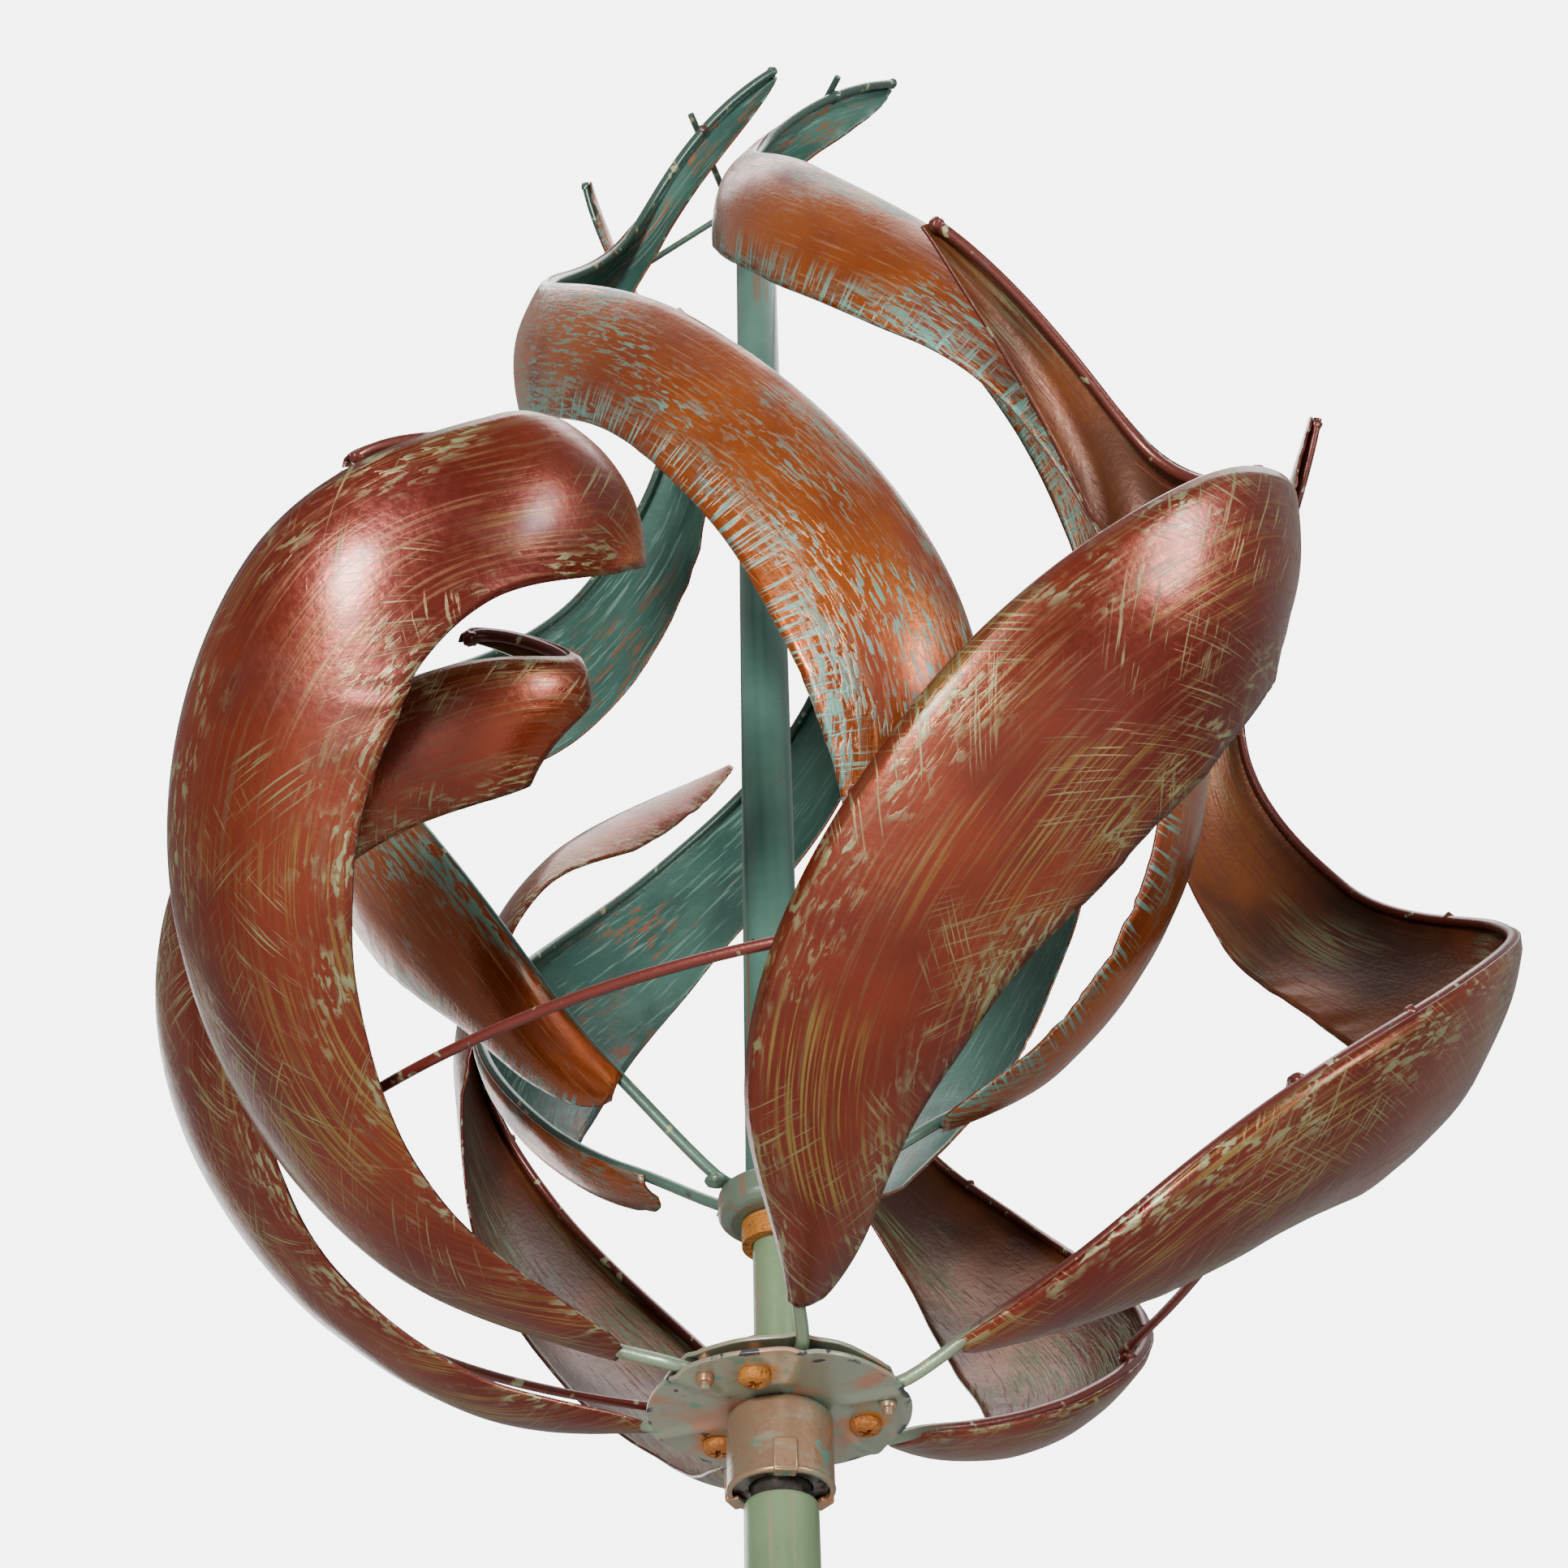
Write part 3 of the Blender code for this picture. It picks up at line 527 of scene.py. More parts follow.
def rust_paint():
    """Rough orange rust with dark pits and yellow bloom."""
    look = Surface("rust_paint", (0.4, 0.15, 0.015), (0.28, 0.085, 0.014), metallic=0.35)
    pits = look.mask((300, 300, 300), 0.55, 0.7, detail=4, shift=2)
    look.layer((0.16, 0.05, 0.02), pits, -0.4)
    bloom = look.mask((220, 220, 220), 0.62, 0.7, detail=4, shift=6)
    look.layer((0.45, 0.27, 0.07), bloom, 0.2)
    return look.finish(smooth=0.5, rough=0.75, grain_scale=800, grain_height=0.5, bump=0.6)


def dark_steel():
    look = Surface("dark_steel", (0.1, 0.095, 0.09), (0.2, 0.18, 0.16), metallic=0.9)
    look.layer((0.03, 0.025, 0.02), look.mask((200, 200, 200), 0.5, 0.65, detail=3, shift=2))
    return look.finish(smooth=0.3, rough=0.5, grain_scale=600, grain_height=0.15, bump=0.3)


def build_looks():
    return {
        "bronze_outside": bronze_outside(),
        "bronze_inside": bronze_inside(),
        "copper_outside": copper_outside(),
        "verdigris_inside": verdigris_inside(),
        "bronze_rim": rim_paint("bronze_rim", (0.1, 0.014, 0.01), (0.2, 0.2, 0.12)),
        "copper_rim": rim_paint("copper_rim", (0.16, 0.05, 0.02), (0.1, 0.19, 0.15)),
        "outer_rod": rod_paint(
            "outer_rod_paint", (0.17, 0.23, 0.15), (0.1, 0.018, 0.012), 0.045, 0.08
        ),
        "brace": rod_paint("brace_paint", (0.16, 0.025, 0.018), (0.13, 0.02, 0.014), 0.05, 0.09),
        "inner_rod": rod_paint(
            "inner_rod_paint", (0.1, 0.17, 0.13), (0.045, 0.085, 0.065), 0.03, 0.07
        ),
        "teal": painted_tube(
            "teal_paint", (0.045, 0.12, 0.092), (0.085, 0.19, 0.15), (0.15, 0.075, 0.04), 1
        ),
        "pole": painted_tube(
            "sage_paint", (0.13, 0.2, 0.1), (0.17, 0.25, 0.135), (0.25, 0.18, 0.12), 2
        ),
        "puck": painted_tube(
            "puck_paint", (0.11, 0.15, 0.11), (0.16, 0.2, 0.145), (0.22, 0.09, 0.05), 4
        ),
        "hub": hub_paint(),
        "cup": cup_paint(),
        "rust": rust_paint(),
        "steel": dark_steel(),
    }


# Shapes


def polar(radius, azimuth, height):
    angle = math.radians(azimuth)
    return Vector((radius * math.sin(angle), -radius * math.cos(angle), height))


def spread(first, last, steps):
    return [first + (last - first) * step / steps for step in range(steps + 1)]


def smooth_step(value, low, high):
    part = min(max((value - low) / (high - low), 0), 1)
    return part * part * (3 - 2 * part)


def piece(name, bm, materials, body, replaced, shade_angle=35):
    """An object of the mesh, with its materials, its body and the CAD nodes it stands for."""
    mesh = bpy.data.meshes.new(name)
    bm.to_mesh(mesh)
    bm.free()
    obj = bpy.data.objects.new(name, mesh)
    bpy.context.scene.collection.objects.link(obj)
    mesh.shade_smooth()
    mesh.set_sharp_from_angle(angle=math.radians(shade_angle))
    return dress(obj, materials, body, replaced)


def dress(obj, materials, body, replaced):
    for material in materials:
        obj.data.materials.append(material)
    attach(obj, body)
    if replaced:
        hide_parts(*replaced)
    return obj


def round_corners(obj, width, least_angle=30):
    bevel = obj.modifiers.new("corners", "BEVEL")
    bevel.width = width
    bevel.segments = 3
    bevel.limit_method = "ANGLE"
    bevel.angle_limit = math.radians(least_angle)


def lathe(bm, profile, steps=96, place=(0, 0)):
    """Turn a closed profile of (radius, height) about a vertical axis at place."""
    rings = []
    for radius, height in profile:
        if radius == 0:
            rings.append([bm.verts.new((place[0], place[1], height))])
            continue
        angles = [2 * math.pi * step / steps for step in range(steps)]
        rings.append([
            bm.verts.new((place[0] + radius * math.cos(a), place[1] + radius * math.sin(a), height))
            for a in angles
        ])
    for lower, upper in zip(rings, rings[1:] + rings[:1]):
        if len(lower) == 1 and len(upper) == 1:
            continue
        for step in range(steps):
            after = (step + 1) % steps
            if len(lower) == 1:
                bm.faces.new((lower[0], upper[after], upper[step]))
            elif len(upper) == 1:
                bm.faces.new((lower[step], lower[after], upper[0]))
            else:
                bm.faces.new((lower[step], lower[after], upper[after], upper[step]))
    bmesh.ops.recalc_face_normals(bm, faces=bm.faces)


def turned(name, profile, material, body, replaced, corner=0.35 * MM):
    """A lathe piece about the rotors' axis, with its corners rounded."""
    bm = bmesh.new()
    lathe(bm, profile)
    obj = piece(name, bm, [material], body, replaced)
    round_corners(obj, corner)
    return obj


def wire(name, points, radius, material, body, replaced):
    curve = bpy.data.curves.new(name, "CURVE")
    curve.dimensions = "3D"
    curve.bevel_depth = radius
    curve.bevel_resolution = 4
    curve.use_fill_caps = True
    spline = curve.splines.new("POLY")
    spline.points.add(len(points) - 1)
    for target, point in zip(spline.points, points):
        target.co = (*point, 1)
    spline.use_smooth = True
    obj = bpy.data.objects.new(name, curve)
    bpy.context.scene.collection.objects.link(obj)
    return dress(obj, [material], body, replaced)


def between(points, index, part):
    """The point part of the way from points[index] to the next one, on a Catmull-Rom curve."""
    before, start = points[max(index - 1, 0)], points[index]
    end, after = points[index + 1], points[min(index + 2, len(points) - 1)]
    return 0.5 * (
        2 * start
        + (end - before) * part
        + (2 * before - 5 * start + 4 * end - after) * part**2
        + (3 * start - before - 3 * end + after) * part**3
    )


class Line:
    """A smooth line through stations of radius, sweep and height, bent by one vane's settings."""

    def __init__(self, stations, hand, azimuth, reach, rise, twist, droop, flare):
        self.stations = [Vector(station) for station in stations]
        self.hand = hand
        self.azimuth = azimuth
        self.reach = reach
        self.rise = rise
        self.twist = twist
        self.droop = droop
        self.flare = flare

    def at(self, along):
        last = len(self.stations) - 1
        place = min(max(along, 0), 1) * last
        index = min(int(place), last - 1)
        radius, sweep, height = between(self.stations, index, place - index)
        azimuth = self.azimuth + self.hand * (sweep + self.twist * along)
        height = height * self.rise - self.droop * along**TIP_POWER
        radius = radius * self.reach + self.flare * along**TIP_POWER
        return polar(radius, azimuth, height) * MM + Vector((0, 0, HUB))

    def tangent(self, along):
        ahead = self.at(min(along + TANGENT_STEP, 1))
        return (ahead - self.at(max(along - TANGENT_STEP, 0))).normalized()


def rod_points(roots, rod, first):
    """A rod's points: from its roots by a smooth lead to its line, and then along that line."""
    points = roots + [rod.at(along) for along in spread(first, LEAD_LAST, 3)]
    lead = [
        between(points, index, step / LEAD_SMOOTHING)
        for index in range(len(points) - 1)
        for step in range(LEAD_SMOOTHING)
    ]
    return lead + [points[-1]] + [rod.at(along) for along in spread(RUN_FIRST, 1, RUN_STEPS)]


def sheet_rows(rod, edge, hand, first, seed):
    """The rows of points across a vane, each with its length along the rod and its width."""
    rows = []
    length = 0.0
    places = spread(first, 1, LONG_STEPS)
    total = sum((rod.at(b) - rod.at(a)).length for a, b in zip(places, places[1:]))
    previous = rod.at(first)
    for along in places:
        start = rod.at(along)
        length += (start - previous).length
        previous = start
        tangent = rod.tangent(along)
        across = edge.at(along) - start
        square = (across - tangent * across.dot(tangent)).normalized()
        outward = hand * square.cross(tangent)
        # The sheet laps over the outside of its rod and ends flush with the rod's far side
        near = start + outward * SHEET_COVER - square * ROD_RADIUS
        span = edge.at(along) - near
        if span.dot(square) < TIP_WIDTH + ROD_RADIUS:
            span += square * (TIP_WIDTH + ROD_RADIUS - span.dot(square))
        corner = min(length / CORNER_LENGTH, 1)
        width = CORNER_START + (1 - CORNER_START) * math.sqrt(1 - (1 - corner) ** 2)
        tip = min((total - length) / TIP_LENGTH, 1)
        width *= TIP_SHARE + (1 - TIP_SHARE) * tip
        wave = noise.noise(Vector((length * WAVE_SCALE, seed, 0.5))) * WAVE_SHARE
        span = span * (width * (1 + wave))
        row = []
        for share in spread(0, 1, WIDE_STEPS):
            bow = CUP_RATIO * span.length * 4 * share * (1 - share)
            dent = sheet_dents(length, share, span.length, seed)
            lip = -LIP_DEPTH * (1 - smooth_step(share * span.length, 0, LIP_WIDTH))
            row.append(near + span * share + outward * (bow + dent + lip))
        rows.append((row, length, span.length))
    return rows


def sheet_dents(length, share, width, seed):
    """Hand-made unevenness: broad dents, and crimps across the free edge where it was beaten."""

    def dents(along_scale, across_scale, seed_factor, height):
        place = (length * along_scale, share * width * across_scale, seed * seed_factor)
        return noise.noise(Vector(place)) * height

    zone = smooth_step(noise.noise(Vector((length * 14, seed * 5.3, 2.0))), -0.05, 0.35)
    near_edge = smooth_step(share, 0.7, 1.0)
    fade = smooth_step(share, 0.0, 0.25)
    crimps = dents(*EDGE_CRIMPS) * zone * near_edge
    return (dents(*BROAD_DENTS) + dents(*FINE_DENTS)) * fade + crimps


def vane(name, rod, edge, hand, first, seed, materials, body, replaced):
    """The cupped sheet, as a thin solid whose two faces and rim have their own materials."""
    bm = bmesh.new()
    run = bm.loops.layers.uv.new("run")
    place = bm.loops.layers.uv.new("share")
    rows = []
    for points, length, width in sheet_rows(rod, edge, hand, first, seed):
        rows.append(([bm.verts.new(point) for point in points], length, width))
    whole = rows[-1][1]
    for (lower, low, low_width), (upper, high, high_width) in zip(rows, rows[1:]):
        for strip in range(WIDE_STEPS):
            corners = (lower[strip], lower[strip + 1], upper[strip + 1], upper[strip])
            left, right = strip / WIDE_STEPS, (strip + 1) / WIDE_STEPS
            places = (
                (low, left * low_width, left), (low, right * low_width, right),
                (high, right * high_width, right), (high, left * high_width, left),
            )
            if hand < 0:
                corners, places = corners[::-1], places[::-1]
            face = bm.faces.new(corners)
            for loop, (length, width, share) in zip(face.loops, places):
                loop[run].uv = (length * UV_SCALE + seed * UV_SHIFT, width * UV_SCALE)
                loop[place].uv = (length / whole, share)
    obj = piece(name, bm, materials, body, replaced, shade_angle=50)
    solidify = obj.modifiers.new("sheet", "SOLIDIFY")
    solidify.thickness = SHEET_THICKNESS
    solidify.offset = 0
    solidify.use_even_offset = False
    solidify.material_offset = 1
    solidify.material_offset_rim = 2


def bead(bm, place, radius, seed, stretch=(1, 1, 1)):
    """A lump of weld: a small ball, squashed and made uneven."""
    made = bmesh.ops.create_icosphere(bm, subdivisions=3, radius=radius)
    for vert in made["verts"]:
        lump = 1 + LUMP_SHARE * noise.noise(vert.co * LUMP_SCALE + Vector((seed, 0, 0)))
        squashed = Vector(part * size * lump for part, size in zip(vert.co, stretch))
        vert.co = squashed + Vector(place)


def beside(rod, along, distance):
    """A point this far from the rod, on the side of the axis."""
    spot = rod.at(along)
    tangent = rod.tangent(along)
    inward = -Vector((spot.x, spot.y, 0))
    inward -= tangent * inward.dot(tangent)
    return spot + inward.normalized() * distance


def brace_points(first, second):
    """A wire bent round the axis from one rod to the next, a little flatter than a true arc."""
    reach = ROD_RADIUS + BRACE_RADIUS + BRACE_CLEARANCE
    start = beside(first, BRACE_PLACE, reach)
    end = beside(second, BRACE_PLACE, reach)
    radii = [math.hypot(spot.x, spot.y) for spot in (start, end)]
    azimuths = [math.degrees(math.atan2(spot.x, -spot.y)) for spot in (start, end)]
    turn = (azimuths[1] - azimuths[0]) % 360
    points = []
    for share in spread(0, 1, 40):
        dip = BRACE_DIP * 4 * share * (1 - share)
        radius = radii[0] + (radii[1] - radii[0]) * share - dip
        height = start.z + (end.z - start.z) * share
        points.append(polar(radius, azimuths[0] + turn * share, height))
    return points


def build_outer(looks):
    rods = []
    welds = bmesh.new()
    for number, (azimuth, bend) in enumerate(zip(OUTER_ROOT_AZIMUTHS, OUTER_VANES), 1):
        rod = Line(OUTER_ROD, 1, *bend)
        edge = Line(OUTER_EDGE, 1, *bend)
        rods.append(rod)
        roots = [polar(radius * MM, azimuth, ROD_PLANE) for radius in OUTER_ROOT_RADII]
        wire(
            f"outer_rod_round_{number}", rod_points(roots, rod, OUTER_FIRST), ROD_RADIUS,
            looks["outer_rod"], OUTER, [f"outer_rod_{number}"],
        )
        vane(
            f"outer_vane_sheet_{number}", rod, edge, 1, OUTER_SHEET_FIRST, number,
            [looks["bronze_outside"], looks["bronze_inside"], looks["bronze_rim"]], OUTER,
            [f"outer_vane_{number}"],
        )
        for along in NUB_PLACES:
            spot = rod.at(along) + Vector((0, 0, 0.6 * ROD_RADIUS))
            bead(welds, spot, 2.3 * MM, number + along)
        bead(welds, rod.at(TIP_WELD_PLACE), 2.6 * MM, number)
    for number, (first, second) in enumerate(BRACED_VANES, 1):
        points = brace_points(rods[first], rods[second])
        wire(
            f"outer_brace_round_{number}", points, BRACE_RADIUS, looks["brace"], OUTER,
            [f"outer_brace_{number}"],
        )
        for vane_number, end in ((first, points[0]), (second, points[-1])):
            spot = rods[vane_number].at(BRACE_PLACE)
            bead(welds, (end + spot) / 2, 2.5 * MM, vane_number, (1.2, 1.2, 1.0))
    piece("outer_welds", welds, [looks["outer_rod"]], OUTER, [])


def spoke_points(rod, edge, tube_radius):
    """A spoke from the tube past the rod, on the side away from the sheet."""
    spot = rod.at(SPOKE_PLACE)
    radial = Vector((spot.x, spot.y, 0)).normalized()
    aside = radial.cross(rod.tangent(SPOKE_PLACE)).normalized()
    if aside.dot(edge.at(SPOKE_PLACE) - spot) > 0:
        aside = -aside
    end = spot + aside * (ROD_RADIUS + SPOKE_RADIUS)
    start = Vector((end.x, end.y, 0)).normalized() * tube_radius
    start.z = end.z
    return [start, end + (end - start).normalized() * SPOKE_OVERHANG]


def sleeve(bore, radius, low, high):
    """The profile of a plain ring or tube, or of a rod if bore is 0."""
    return [(bore, low), (radius, low), (radius, high), (bore, high)]


def build_inner(looks):
    low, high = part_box("inner_hub")
    tube_low, tube_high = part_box("inner_tube")
    hub_radius, tube_radius = high[0], tube_high[0]
    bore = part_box("spindle")[1][0] + TURNING_GAP
    puck = [
        (bore, low[2]),
        (hub_radius - 3 * MM, low[2]),
        (hub_radius, low[2] + 2.5 * MM),
        (hub_radius, high[2] - 2 * MM),
        (hub_radius - 2.5 * MM, high[2]),
        (bore, high[2]),
    ]
    turned("inner_hub_round", puck, looks["puck"], INNER, ["inner_hub"], 1.2 * MM)
    tube_bore = tube_radius - TUBE_WALL
    tube = sleeve(tube_bore, tube_radius, tube_low[2], tube_high[2])
    turned("inner_tube_round", tube, looks["teal"], INNER, ["inner_tube"])
    bushing_low, bushing_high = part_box("top_bushing")
    turned(
        "top_bushing_round", sleeve(bore, tube_bore, bushing_low[2], bushing_high[2]),
        looks["steel"], INNER, ["top_bushing"],
    )
    welds = bmesh.new()
    for number, bend in enumerate(INNER_VANES, 1):
        rod = Line(INNER_ROD, -1, *bend)
        edge = Line(INNER_EDGE, -1, *bend)
        azimuth = bend[0] + INNER_ROOT_TURN
        height = high[2] + 0.3 * MM + ROD_RADIUS
        roots = [polar(radius, azimuth, height) for radius in (tube_radius, INNER_ROOT_BEND)]
        wire(
            f"inner_rod_round_{number}", rod_points(roots, rod, INNER_FIRST), ROD_RADIUS,
            looks["inner_rod"], INNER, [f"inner_rod_{number}"],
        )
        vane(
            f"inner_vane_sheet_{number}", rod, edge, -1, INNER_FIRST, number + 10,
            [looks["copper_outside"], looks["verdigris_inside"], looks["copper_rim"]], INNER,
            [f"inner_vane_{number}"],
        )
        spoke = spoke_points(rod, edge, tube_radius)
        wire(
            f"inner_spoke_round_{number}", spoke, SPOKE_RADIUS, looks["inner_rod"], INNER,
            [f"inner_spoke_{number}"],
        )
        foot = roots[1] - Vector((0, 0, ROD_RADIUS))
        bead(welds, roots[0], 3.1 * MM, number, (1.2, 1.2, 0.8))
        bead(welds, foot, 2.6 * MM, number + 5, (1.5, 1.5, 0.7))
        bead(welds, spoke[0], 2.6 * MM, number + 9)
        bead(welds, rod.at(SPOKE_PLACE), 2.7 * MM, number + 13)
        bead(welds, rod.at(TIP_WELD_PLACE), 2.5 * MM, number + 17)
    piece("inner_welds", welds, [looks["inner_rod"]], INNER, [])


def pressed_plate(name, radius, height, side, material, replaced):
    """A hub plate with channels pressed out over the rods and a slightly bent rim."""
    bm = bmesh.new()
    grid = []
    for reach in spread(PLATE_BORE, radius, PLATE_RINGS):
        ring_points = []
        for step in range(PLATE_TURNS):
            azimuth = 360 * step / PLATE_TURNS
            lift = 0.0
            for root in OUTER_ROOT_AZIMUTHS:
                off = (azimuth - root + 180) % 360 - 180
                distance = math.radians(off) * reach
                if abs(off) < 60:
                    lift += math.exp(-((distance / CHANNEL_WIDTH) ** 2))
            lift *= CHANNEL_HEIGHT * smooth_step(reach, 0.4 * radius, 0.6 * radius)
            outer = (reach / radius) ** 3
            bend = noise.noise(polar(2.2, azimuth, side * 3.0)) * RIM_BEND * outer
            ripple = 1 + RIM_RIPPLE * outer * noise.noise(polar(3.5, azimuth, 9.0))
            point = polar(reach * ripple, azimuth, height + side * lift + bend)
            ring_points.append(bm.verts.new(point))
        grid.append(ring_points)
    for inner, outer in zip(grid, grid[1:]):
        for step in range(PLATE_TURNS):
            after = (step + 1) % PLATE_TURNS
            bm.faces.new((inner[step], inner[after], outer[after], outer[step]))
    bmesh.ops.recalc_face_normals(bm, faces=bm.faces)
    obj = piece(name, bm, [material], OUTER, replaced, shade_angle=60)
    solidify = obj.modifiers.new("plate", "SOLIDIFY")
    solidify.thickness = PLATE_THICKNESS
    solidify.offset = 0
    round_corners(obj, 0.35 * MM, 50)


def build_hub(looks):
    pressed_plate(
        "lower_plate_pressed", LOWER_PLATE_RADIUS, HUB + PLATE_THICKNESS / 2, -1, looks["hub"],
        ["lower_flange"],
    )
    upper_low, upper_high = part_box("upper_flange")
    pressed_plate(
        "upper_plate_pressed", UPPER_PLATE_RADIUS, upper_low[2] + PLATE_THICKNESS / 2, 1,
        looks["hub"], ["upper_flange"],
    )
    upper_top = upper_low[2] + PLATE_THICKNESS
    collar = [
        (PLATE_BORE, upper_top - 0.4 * MM),
        (COLLAR_RADIUS + 1.5 * MM, upper_top - 0.4 * MM),
        (COLLAR_RADIUS, upper_top + 2 * MM),
        (COLLAR_RADIUS, upper_high[2]),
        (PLATE_BORE, upper_high[2]),
    ]
    turned("hub_collar_round", collar, looks["rust"], OUTER, [], 0.8 * MM)
    build_cup(looks)
    for number, azimuth in enumerate(SCREW_AZIMUTHS, 1):
        screw(looks, number, azimuth, upper_top)
        nut(looks, number, azimuth, upper_top)
    for number, azimuth in enumerate(PIN_AZIMUTHS, 1):
        pin(looks, number, azimuth, upper_top)


def build_cup(looks):
    """A short pressed cup with a lip at its foot, and flat tabs on its side, bent in below."""
    low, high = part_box("bearing_cup")
    radius, foot, top = high[0], low[2], high[2]
    inside = radius - CUP_WALL
    cup = [
        (inside, foot),
        (radius - CUP_LIP, foot),
        (radius + CUP_LIP, foot + 0.8 * MM),
        (radius, foot + 2.2 * MM),
    ]
    for angle in spread(0, math.pi / 2, 6):
        cup.append((
            radius - CUP_ROUND + CUP_ROUND * math.cos(angle),
            top - CUP_ROUND + CUP_ROUND * math.sin(angle),
        ))
    cup += [(PLATE_BORE, top), (PLATE_BORE, top - CUP_WALL), (inside, top - CUP_WALL - 1.5 * MM)]
    turned("bearing_cup_round", cup, looks["cup"], OUTER, ["bearing_cup"], 0.3 * MM)
    bm = bmesh.new()
    tabs = (
        (TAB_SIZE, (0, -radius - 0.2 * MM, foot + 5 * MM)),
        (BENT_TAB_SIZE, (0, -radius + 1.4 * MM, foot + 0.3 * MM)),
    )
    for azimuth in TAB_AZIMUTHS:
        turn = Matrix.Rotation(math.radians(azimuth), 3, "Z")
        for size, place in tabs:
            made = bmesh.ops.create_cube(bm, size=1)["verts"]
            bmesh.ops.scale(bm, verts=made, vec=size)
            bmesh.ops.translate(bm, verts=made, vec=place)
            bmesh.ops.rotate(bm, verts=made, cent=(0, 0, 0), matrix=turn)
    round_corners(piece("cup_tabs", bm, [looks["cup"]], OUTER, []), 0.4 * MM)
    # The seal closes the cup's mouth round the pole's neck
    seal = sleeve(SEAL_BORE, inside - PRESSED_GAP, foot + 1.6 * MM, foot + 2.6 * MM)
    turned("bearing_seal", seal, looks["steel"], OUTER, [])


def screw(looks, number, azimuth, upper_top):
    """A screw with a domed head under the hub, and a cross cut into it."""
    place = polar(SCREW_CIRCLE, azimuth, 0)
    top = upper_top + SCREW_END
    face = HUB - HEAD_RIM - HEAD_HEIGHT
    profile = [(0, face)]
    for angle in spread(0, math.pi / 2, 8)[1:]:
        dome = HEAD_HEIGHT * math.cos(angle) ** 0.8 * 0.8
        profile.append((
            HEAD_RADIUS * math.sin(angle), HUB - HEAD_RIM - dome - 0.2 * HEAD_HEIGHT
        ))
    profile += [(HEAD_RADIUS, HUB - 0.1 * MM), (SCREW_RADIUS, HUB), (SCREW_RADIUS, top), (0, top)]
    bm = bmesh.new()
    lathe(bm, profile, 64, place)
    obj = piece(
        f"hub_screw_round_{number}", bm, [looks["rust"]], OUTER, [f"hub_screw_{number}"],
    )
    # Each bar of the cross is a stretched pyramid that narrows upwards into the head
    cross = bmesh.new()
    square = Matrix.Rotation(math.pi / 4, 3, "Z")
    for turn in (0, 90):
        made = bmesh.ops.create_cone(
            cross, cap_ends=True, segments=4, radius1=CROSS_FLOOR, radius2=CROSS_MOUTH,
            depth=CROSS_DEPTH,
        )["verts"]
        bmesh.ops.rotate(cross, verts=made, cent=(0, 0, 0), matrix=square)
        bmesh.ops.scale(cross, verts=made, vec=CROSS_STRETCH)
        spin = Matrix.Rotation(math.radians(turn + 2 * azimuth), 3, "Z")
        bmesh.ops.rotate(cross, verts=made, cent=(0, 0, 0), matrix=spin)
    bmesh.ops.translate(cross, verts=cross.verts, vec=(place.x, place.y, face))
    bmesh.ops.recalc_face_normals(cross, faces=cross.faces)
    cut(obj, cross)


def nut(looks, number, azimuth, upper_top):
    place = polar(SCREW_CIRCLE, azimuth, upper_top + NUT_GAP + NUT_HEIGHT / 2)
    bm = bmesh.new()
    bmesh.ops.create_cone(
        bm, cap_ends=True, segments=6, radius1=NUT_RADIUS, radius2=NUT_RADIUS, depth=NUT_HEIGHT,
        matrix=Matrix.Translation(place),
    )
    obj = piece(
        f"hub_nut_round_{number}", bm, [looks["rust"]], OUTER, [f"hub_nut_{number}"]
    )
    round_corners(obj, 0.5 * MM)


def pin(looks, number, azimuth, upper_top):
    profile = [(radius * MM, HUB + height * MM) for radius, height in PIN_OUTLINE]
    profile += [(PIN_RADIUS, upper_top + MM), (0, upper_top + MM)]
    bm = bmesh.new()
    lathe(bm, profile, 48, polar(PIN_CIRCLE, azimuth, 0))
    piece(
        f"hub_pin_round_{number}", bm, [looks["cup"]], OUTER, [f"hub_pin_{number}"]
    )


def cut(obj, cutter_mesh):
    """Cut a closed mesh out of the object and leave no modifier behind."""
    mesh = bpy.data.meshes.new("cutter")
    cutter_mesh.to_mesh(mesh)
    cutter_mesh.free()
    other = bpy.data.objects.new("cutter", mesh)
    bpy.context.scene.collection.objects.link(other)
    modifier = obj.modifiers.new("cut", "BOOLEAN")
    modifier.operation = "DIFFERENCE"
    modifier.solver = "EXACT"
    modifier.use_self = True
    modifier.object = other
    graph = bpy.context.evaluated_depsgraph_get()
    result = bpy.data.meshes.new_from_object(obj.evaluated_get(graph))
    obj.modifiers.clear()
    obj.data = result
    obj.data.set_sharp_from_angle(angle=math.radians(35))
    bpy.data.objects.remove(other, do_unlink=True)


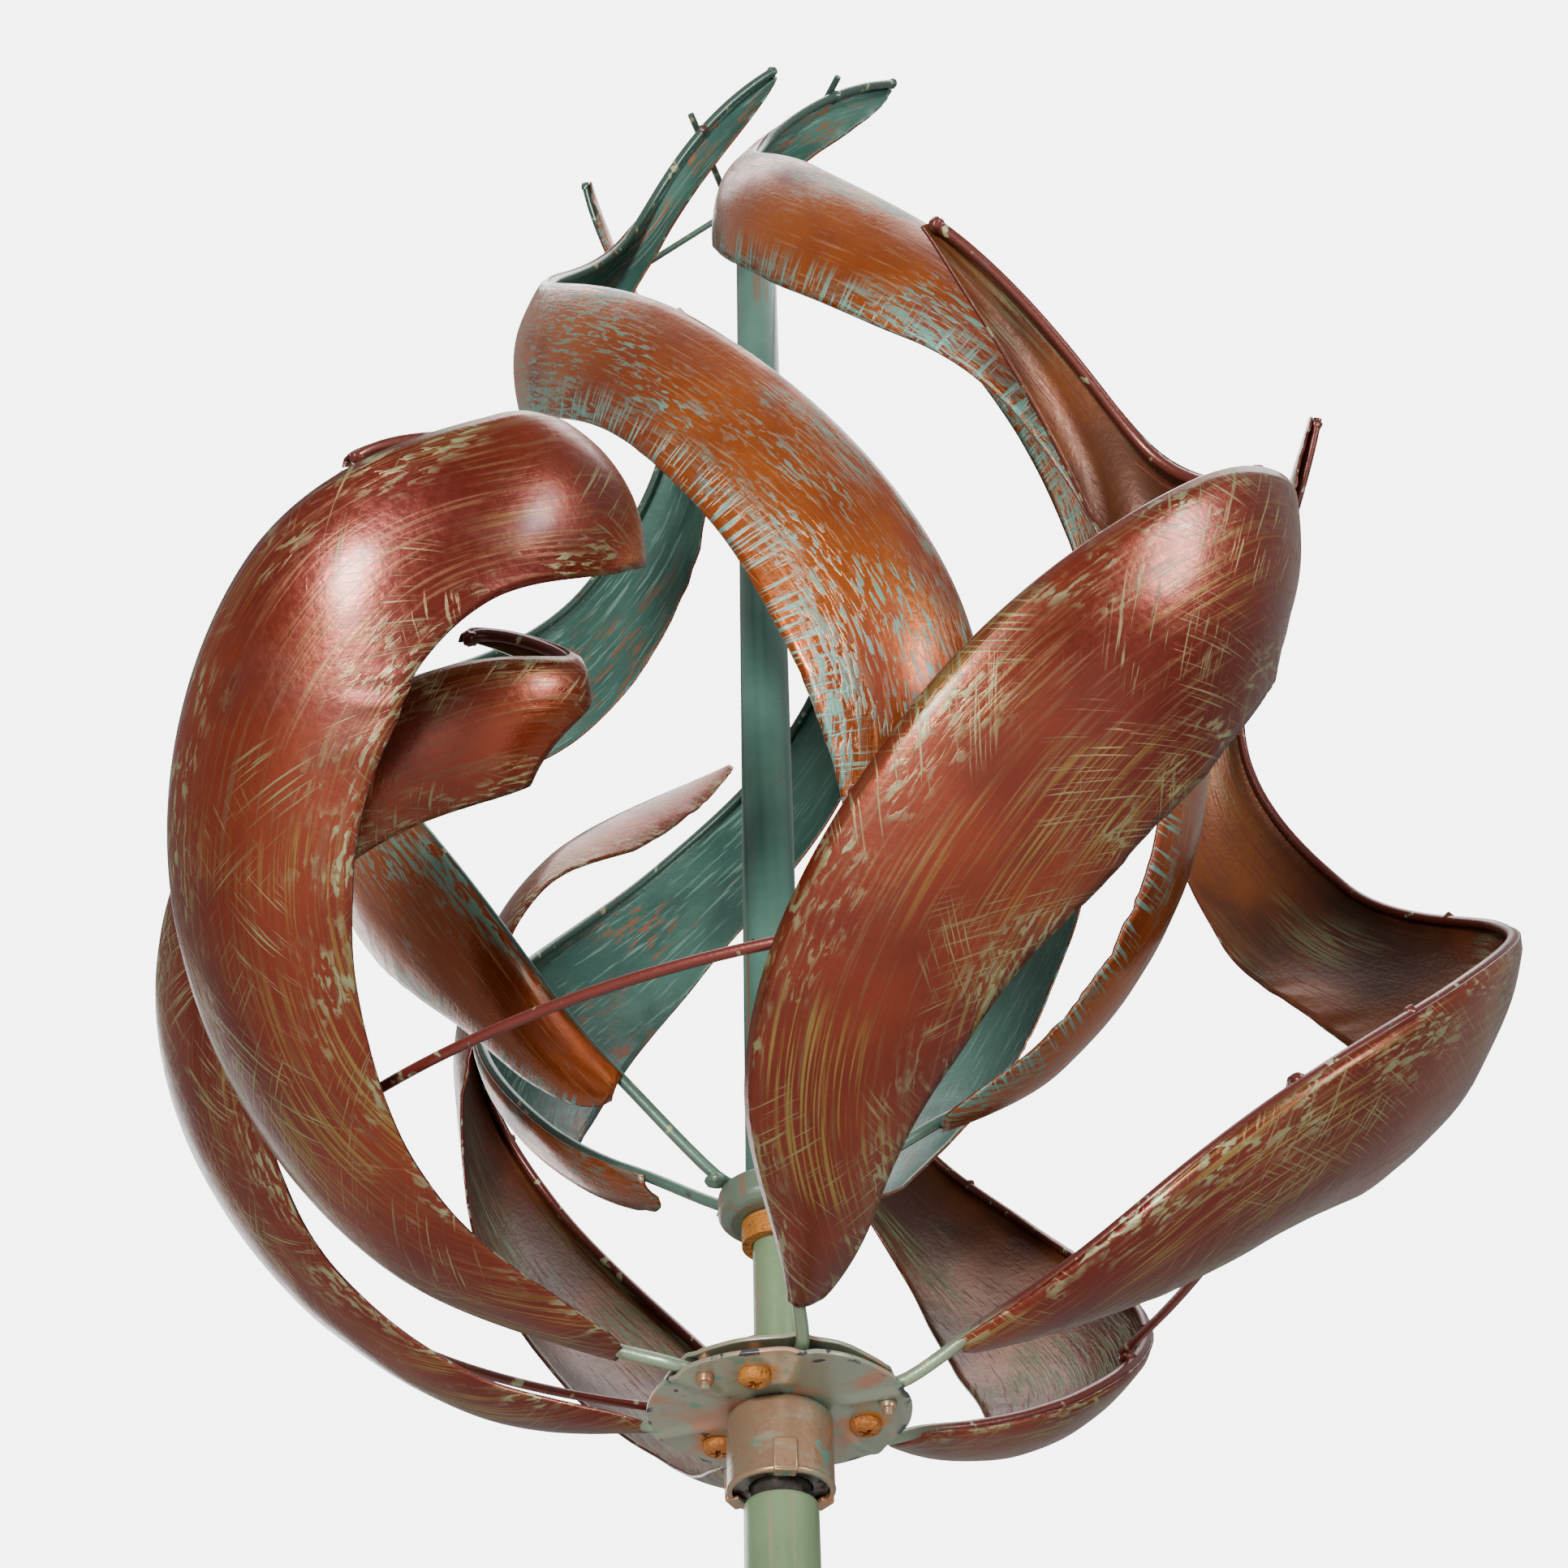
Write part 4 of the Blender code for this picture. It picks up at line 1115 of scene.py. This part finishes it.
def build_mast(looks):
    pole_low, pole_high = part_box("pole")
    radius, top = pole_high[0], pole_high[2]
    bore = radius - POLE_WALL
    pole = [
        (0, pole_low[2]),
        (radius - 0.4 * MM, pole_low[2]),
        (radius, pole_low[2] + 0.4 * MM),
        (radius, top - 1.6 * MM),
        (radius - 0.4 * MM, top - 0.5 * MM),
        (radius - 1.2 * MM, top),
        (bore, top),
        (bore, top - POLE_MOUTH),
        (0, top - POLE_MOUTH),
    ]
    turned("pole_round", pole, looks["pole"], MAST, ["pole"], 0.2 * MM)
    plug_low, plug_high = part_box("pole_plug")
    plug = [
        (0, plug_low[2]),
        (bore - PRESSED_GAP, plug_low[2]),
        (bore - PRESSED_GAP, top - 0.6 * MM),
        (NECK_RADIUS + 0.4 * MM, top + 0.4 * MM),
        (NECK_RADIUS, top + 1.2 * MM),
        (NECK_RADIUS, plug_high[2]),
        (0, plug_high[2]),
    ]
    turned("pole_plug_round", plug, looks["steel"], MAST, ["pole_plug"])
    ring_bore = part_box("spindle")[1][0] + PRESSED_GAP
    for node, hole, look, slot in (
        ("spindle", 0, "pole", "pole_green"),
        ("thrust_collar", ring_bore, "rust", "screw_rust"),
        ("lower_bearing_inner", ring_bore, "steel", "bearing_steel"),
    ):
        low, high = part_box(node)
        profile = sleeve(hole, high[0], low[2], high[2])
        turned(f"{node}_round", profile, looks[look], MAST, [node])


def keep_bearing(looks):
    """The hidden bearing pieces keep their CAD shapes and take the steel's material."""
    for name in ("lower_bearing_outer", "lower_bearing_cage"):
        for slot in frame["nodes"][name].material_slots:
            slot.material = looks["steel"]


# Floor, light and camera


def build_stage():
    bpy.ops.mesh.primitive_plane_add(size=FLOOR_SIZE, location=(0, 0, 0))
    floor = bpy.context.object
    floor.name = "floor"
    look = Surface("floor_paint", (0.55, 0.545, 0.53), (0.58, 0.57, 0.555), metallic=0.0)
    floor.data.materials.append(
        look.finish(smooth=0.7, rough=0.7, grain_scale=30, grain_height=0.05, bump=0.1)
    )


def add_light(name, place, size, power, colour):
    data = bpy.data.lights.new(name, "AREA")
    data.shape = "DISK"
    data.size = size
    data.energy = power
    data.color = colour
    light = bpy.data.objects.new(name, data)
    light.location = place
    light.rotation_euler = (LIGHT_TARGET - Vector(place)).to_track_quat("-Z", "Y").to_euler()
    bpy.context.scene.collection.objects.link(light)


def build_light():
    """The lights, and a pale world that the camera sees brighter than it shines on the part."""
    for light in LIGHTS:
        add_light(*light)
    world = bpy.data.worlds.new("studio")
    world.use_nodes = True
    tree = world.node_tree
    background = tree.nodes["Background"]
    background.inputs["Color"].default_value = BACKDROP
    background.inputs["Strength"].default_value = WORLD_LIGHT
    seen = add_node(tree, "ShaderNodeBackground")
    seen.inputs["Color"].default_value = BACKDROP
    seen.inputs["Strength"].default_value = WORLD_SEEN
    rays = add_node(tree, "ShaderNodeLightPath")
    blend = add_node(tree, "ShaderNodeMixShader")
    tree.links.new(rays.outputs["Is Camera Ray"], blend.inputs["Fac"])
    tree.links.new(background.outputs["Background"], blend.inputs[1])
    tree.links.new(seen.outputs["Background"], blend.inputs[2])
    tree.links.new(blend.outputs["Shader"], tree.nodes["World Output"].inputs["Surface"])
    bpy.context.scene.world = world


def build_camera():
    """The camera is close under the hub and looks steeply up at the rotors."""
    data = bpy.data.cameras.new("camera")
    data.sensor_width = CAMERA_SENSOR
    data.lens = CAMERA_LENS
    data.clip_start = 0.01
    data.shift_x = CAMERA_SHIFT
    camera = bpy.data.objects.new("camera", data)
    pitch = Matrix.Rotation(math.radians(CAMERA_PITCH), 4, "X")
    lean = Matrix.Rotation(math.radians(CAMERA_LEAN), 4, "Z")
    camera.matrix_world = Matrix.Translation(CAMERA_PLACE) @ pitch @ lean
    bpy.context.scene.collection.objects.link(camera)
    bpy.context.scene.camera = camera


def main():
    build_camera()
    looks = build_looks()
    build_mast(looks)
    build_hub(looks)
    build_outer(looks)
    build_inner(looks)
    keep_bearing(looks)
    build_stage()
    build_light()


main()
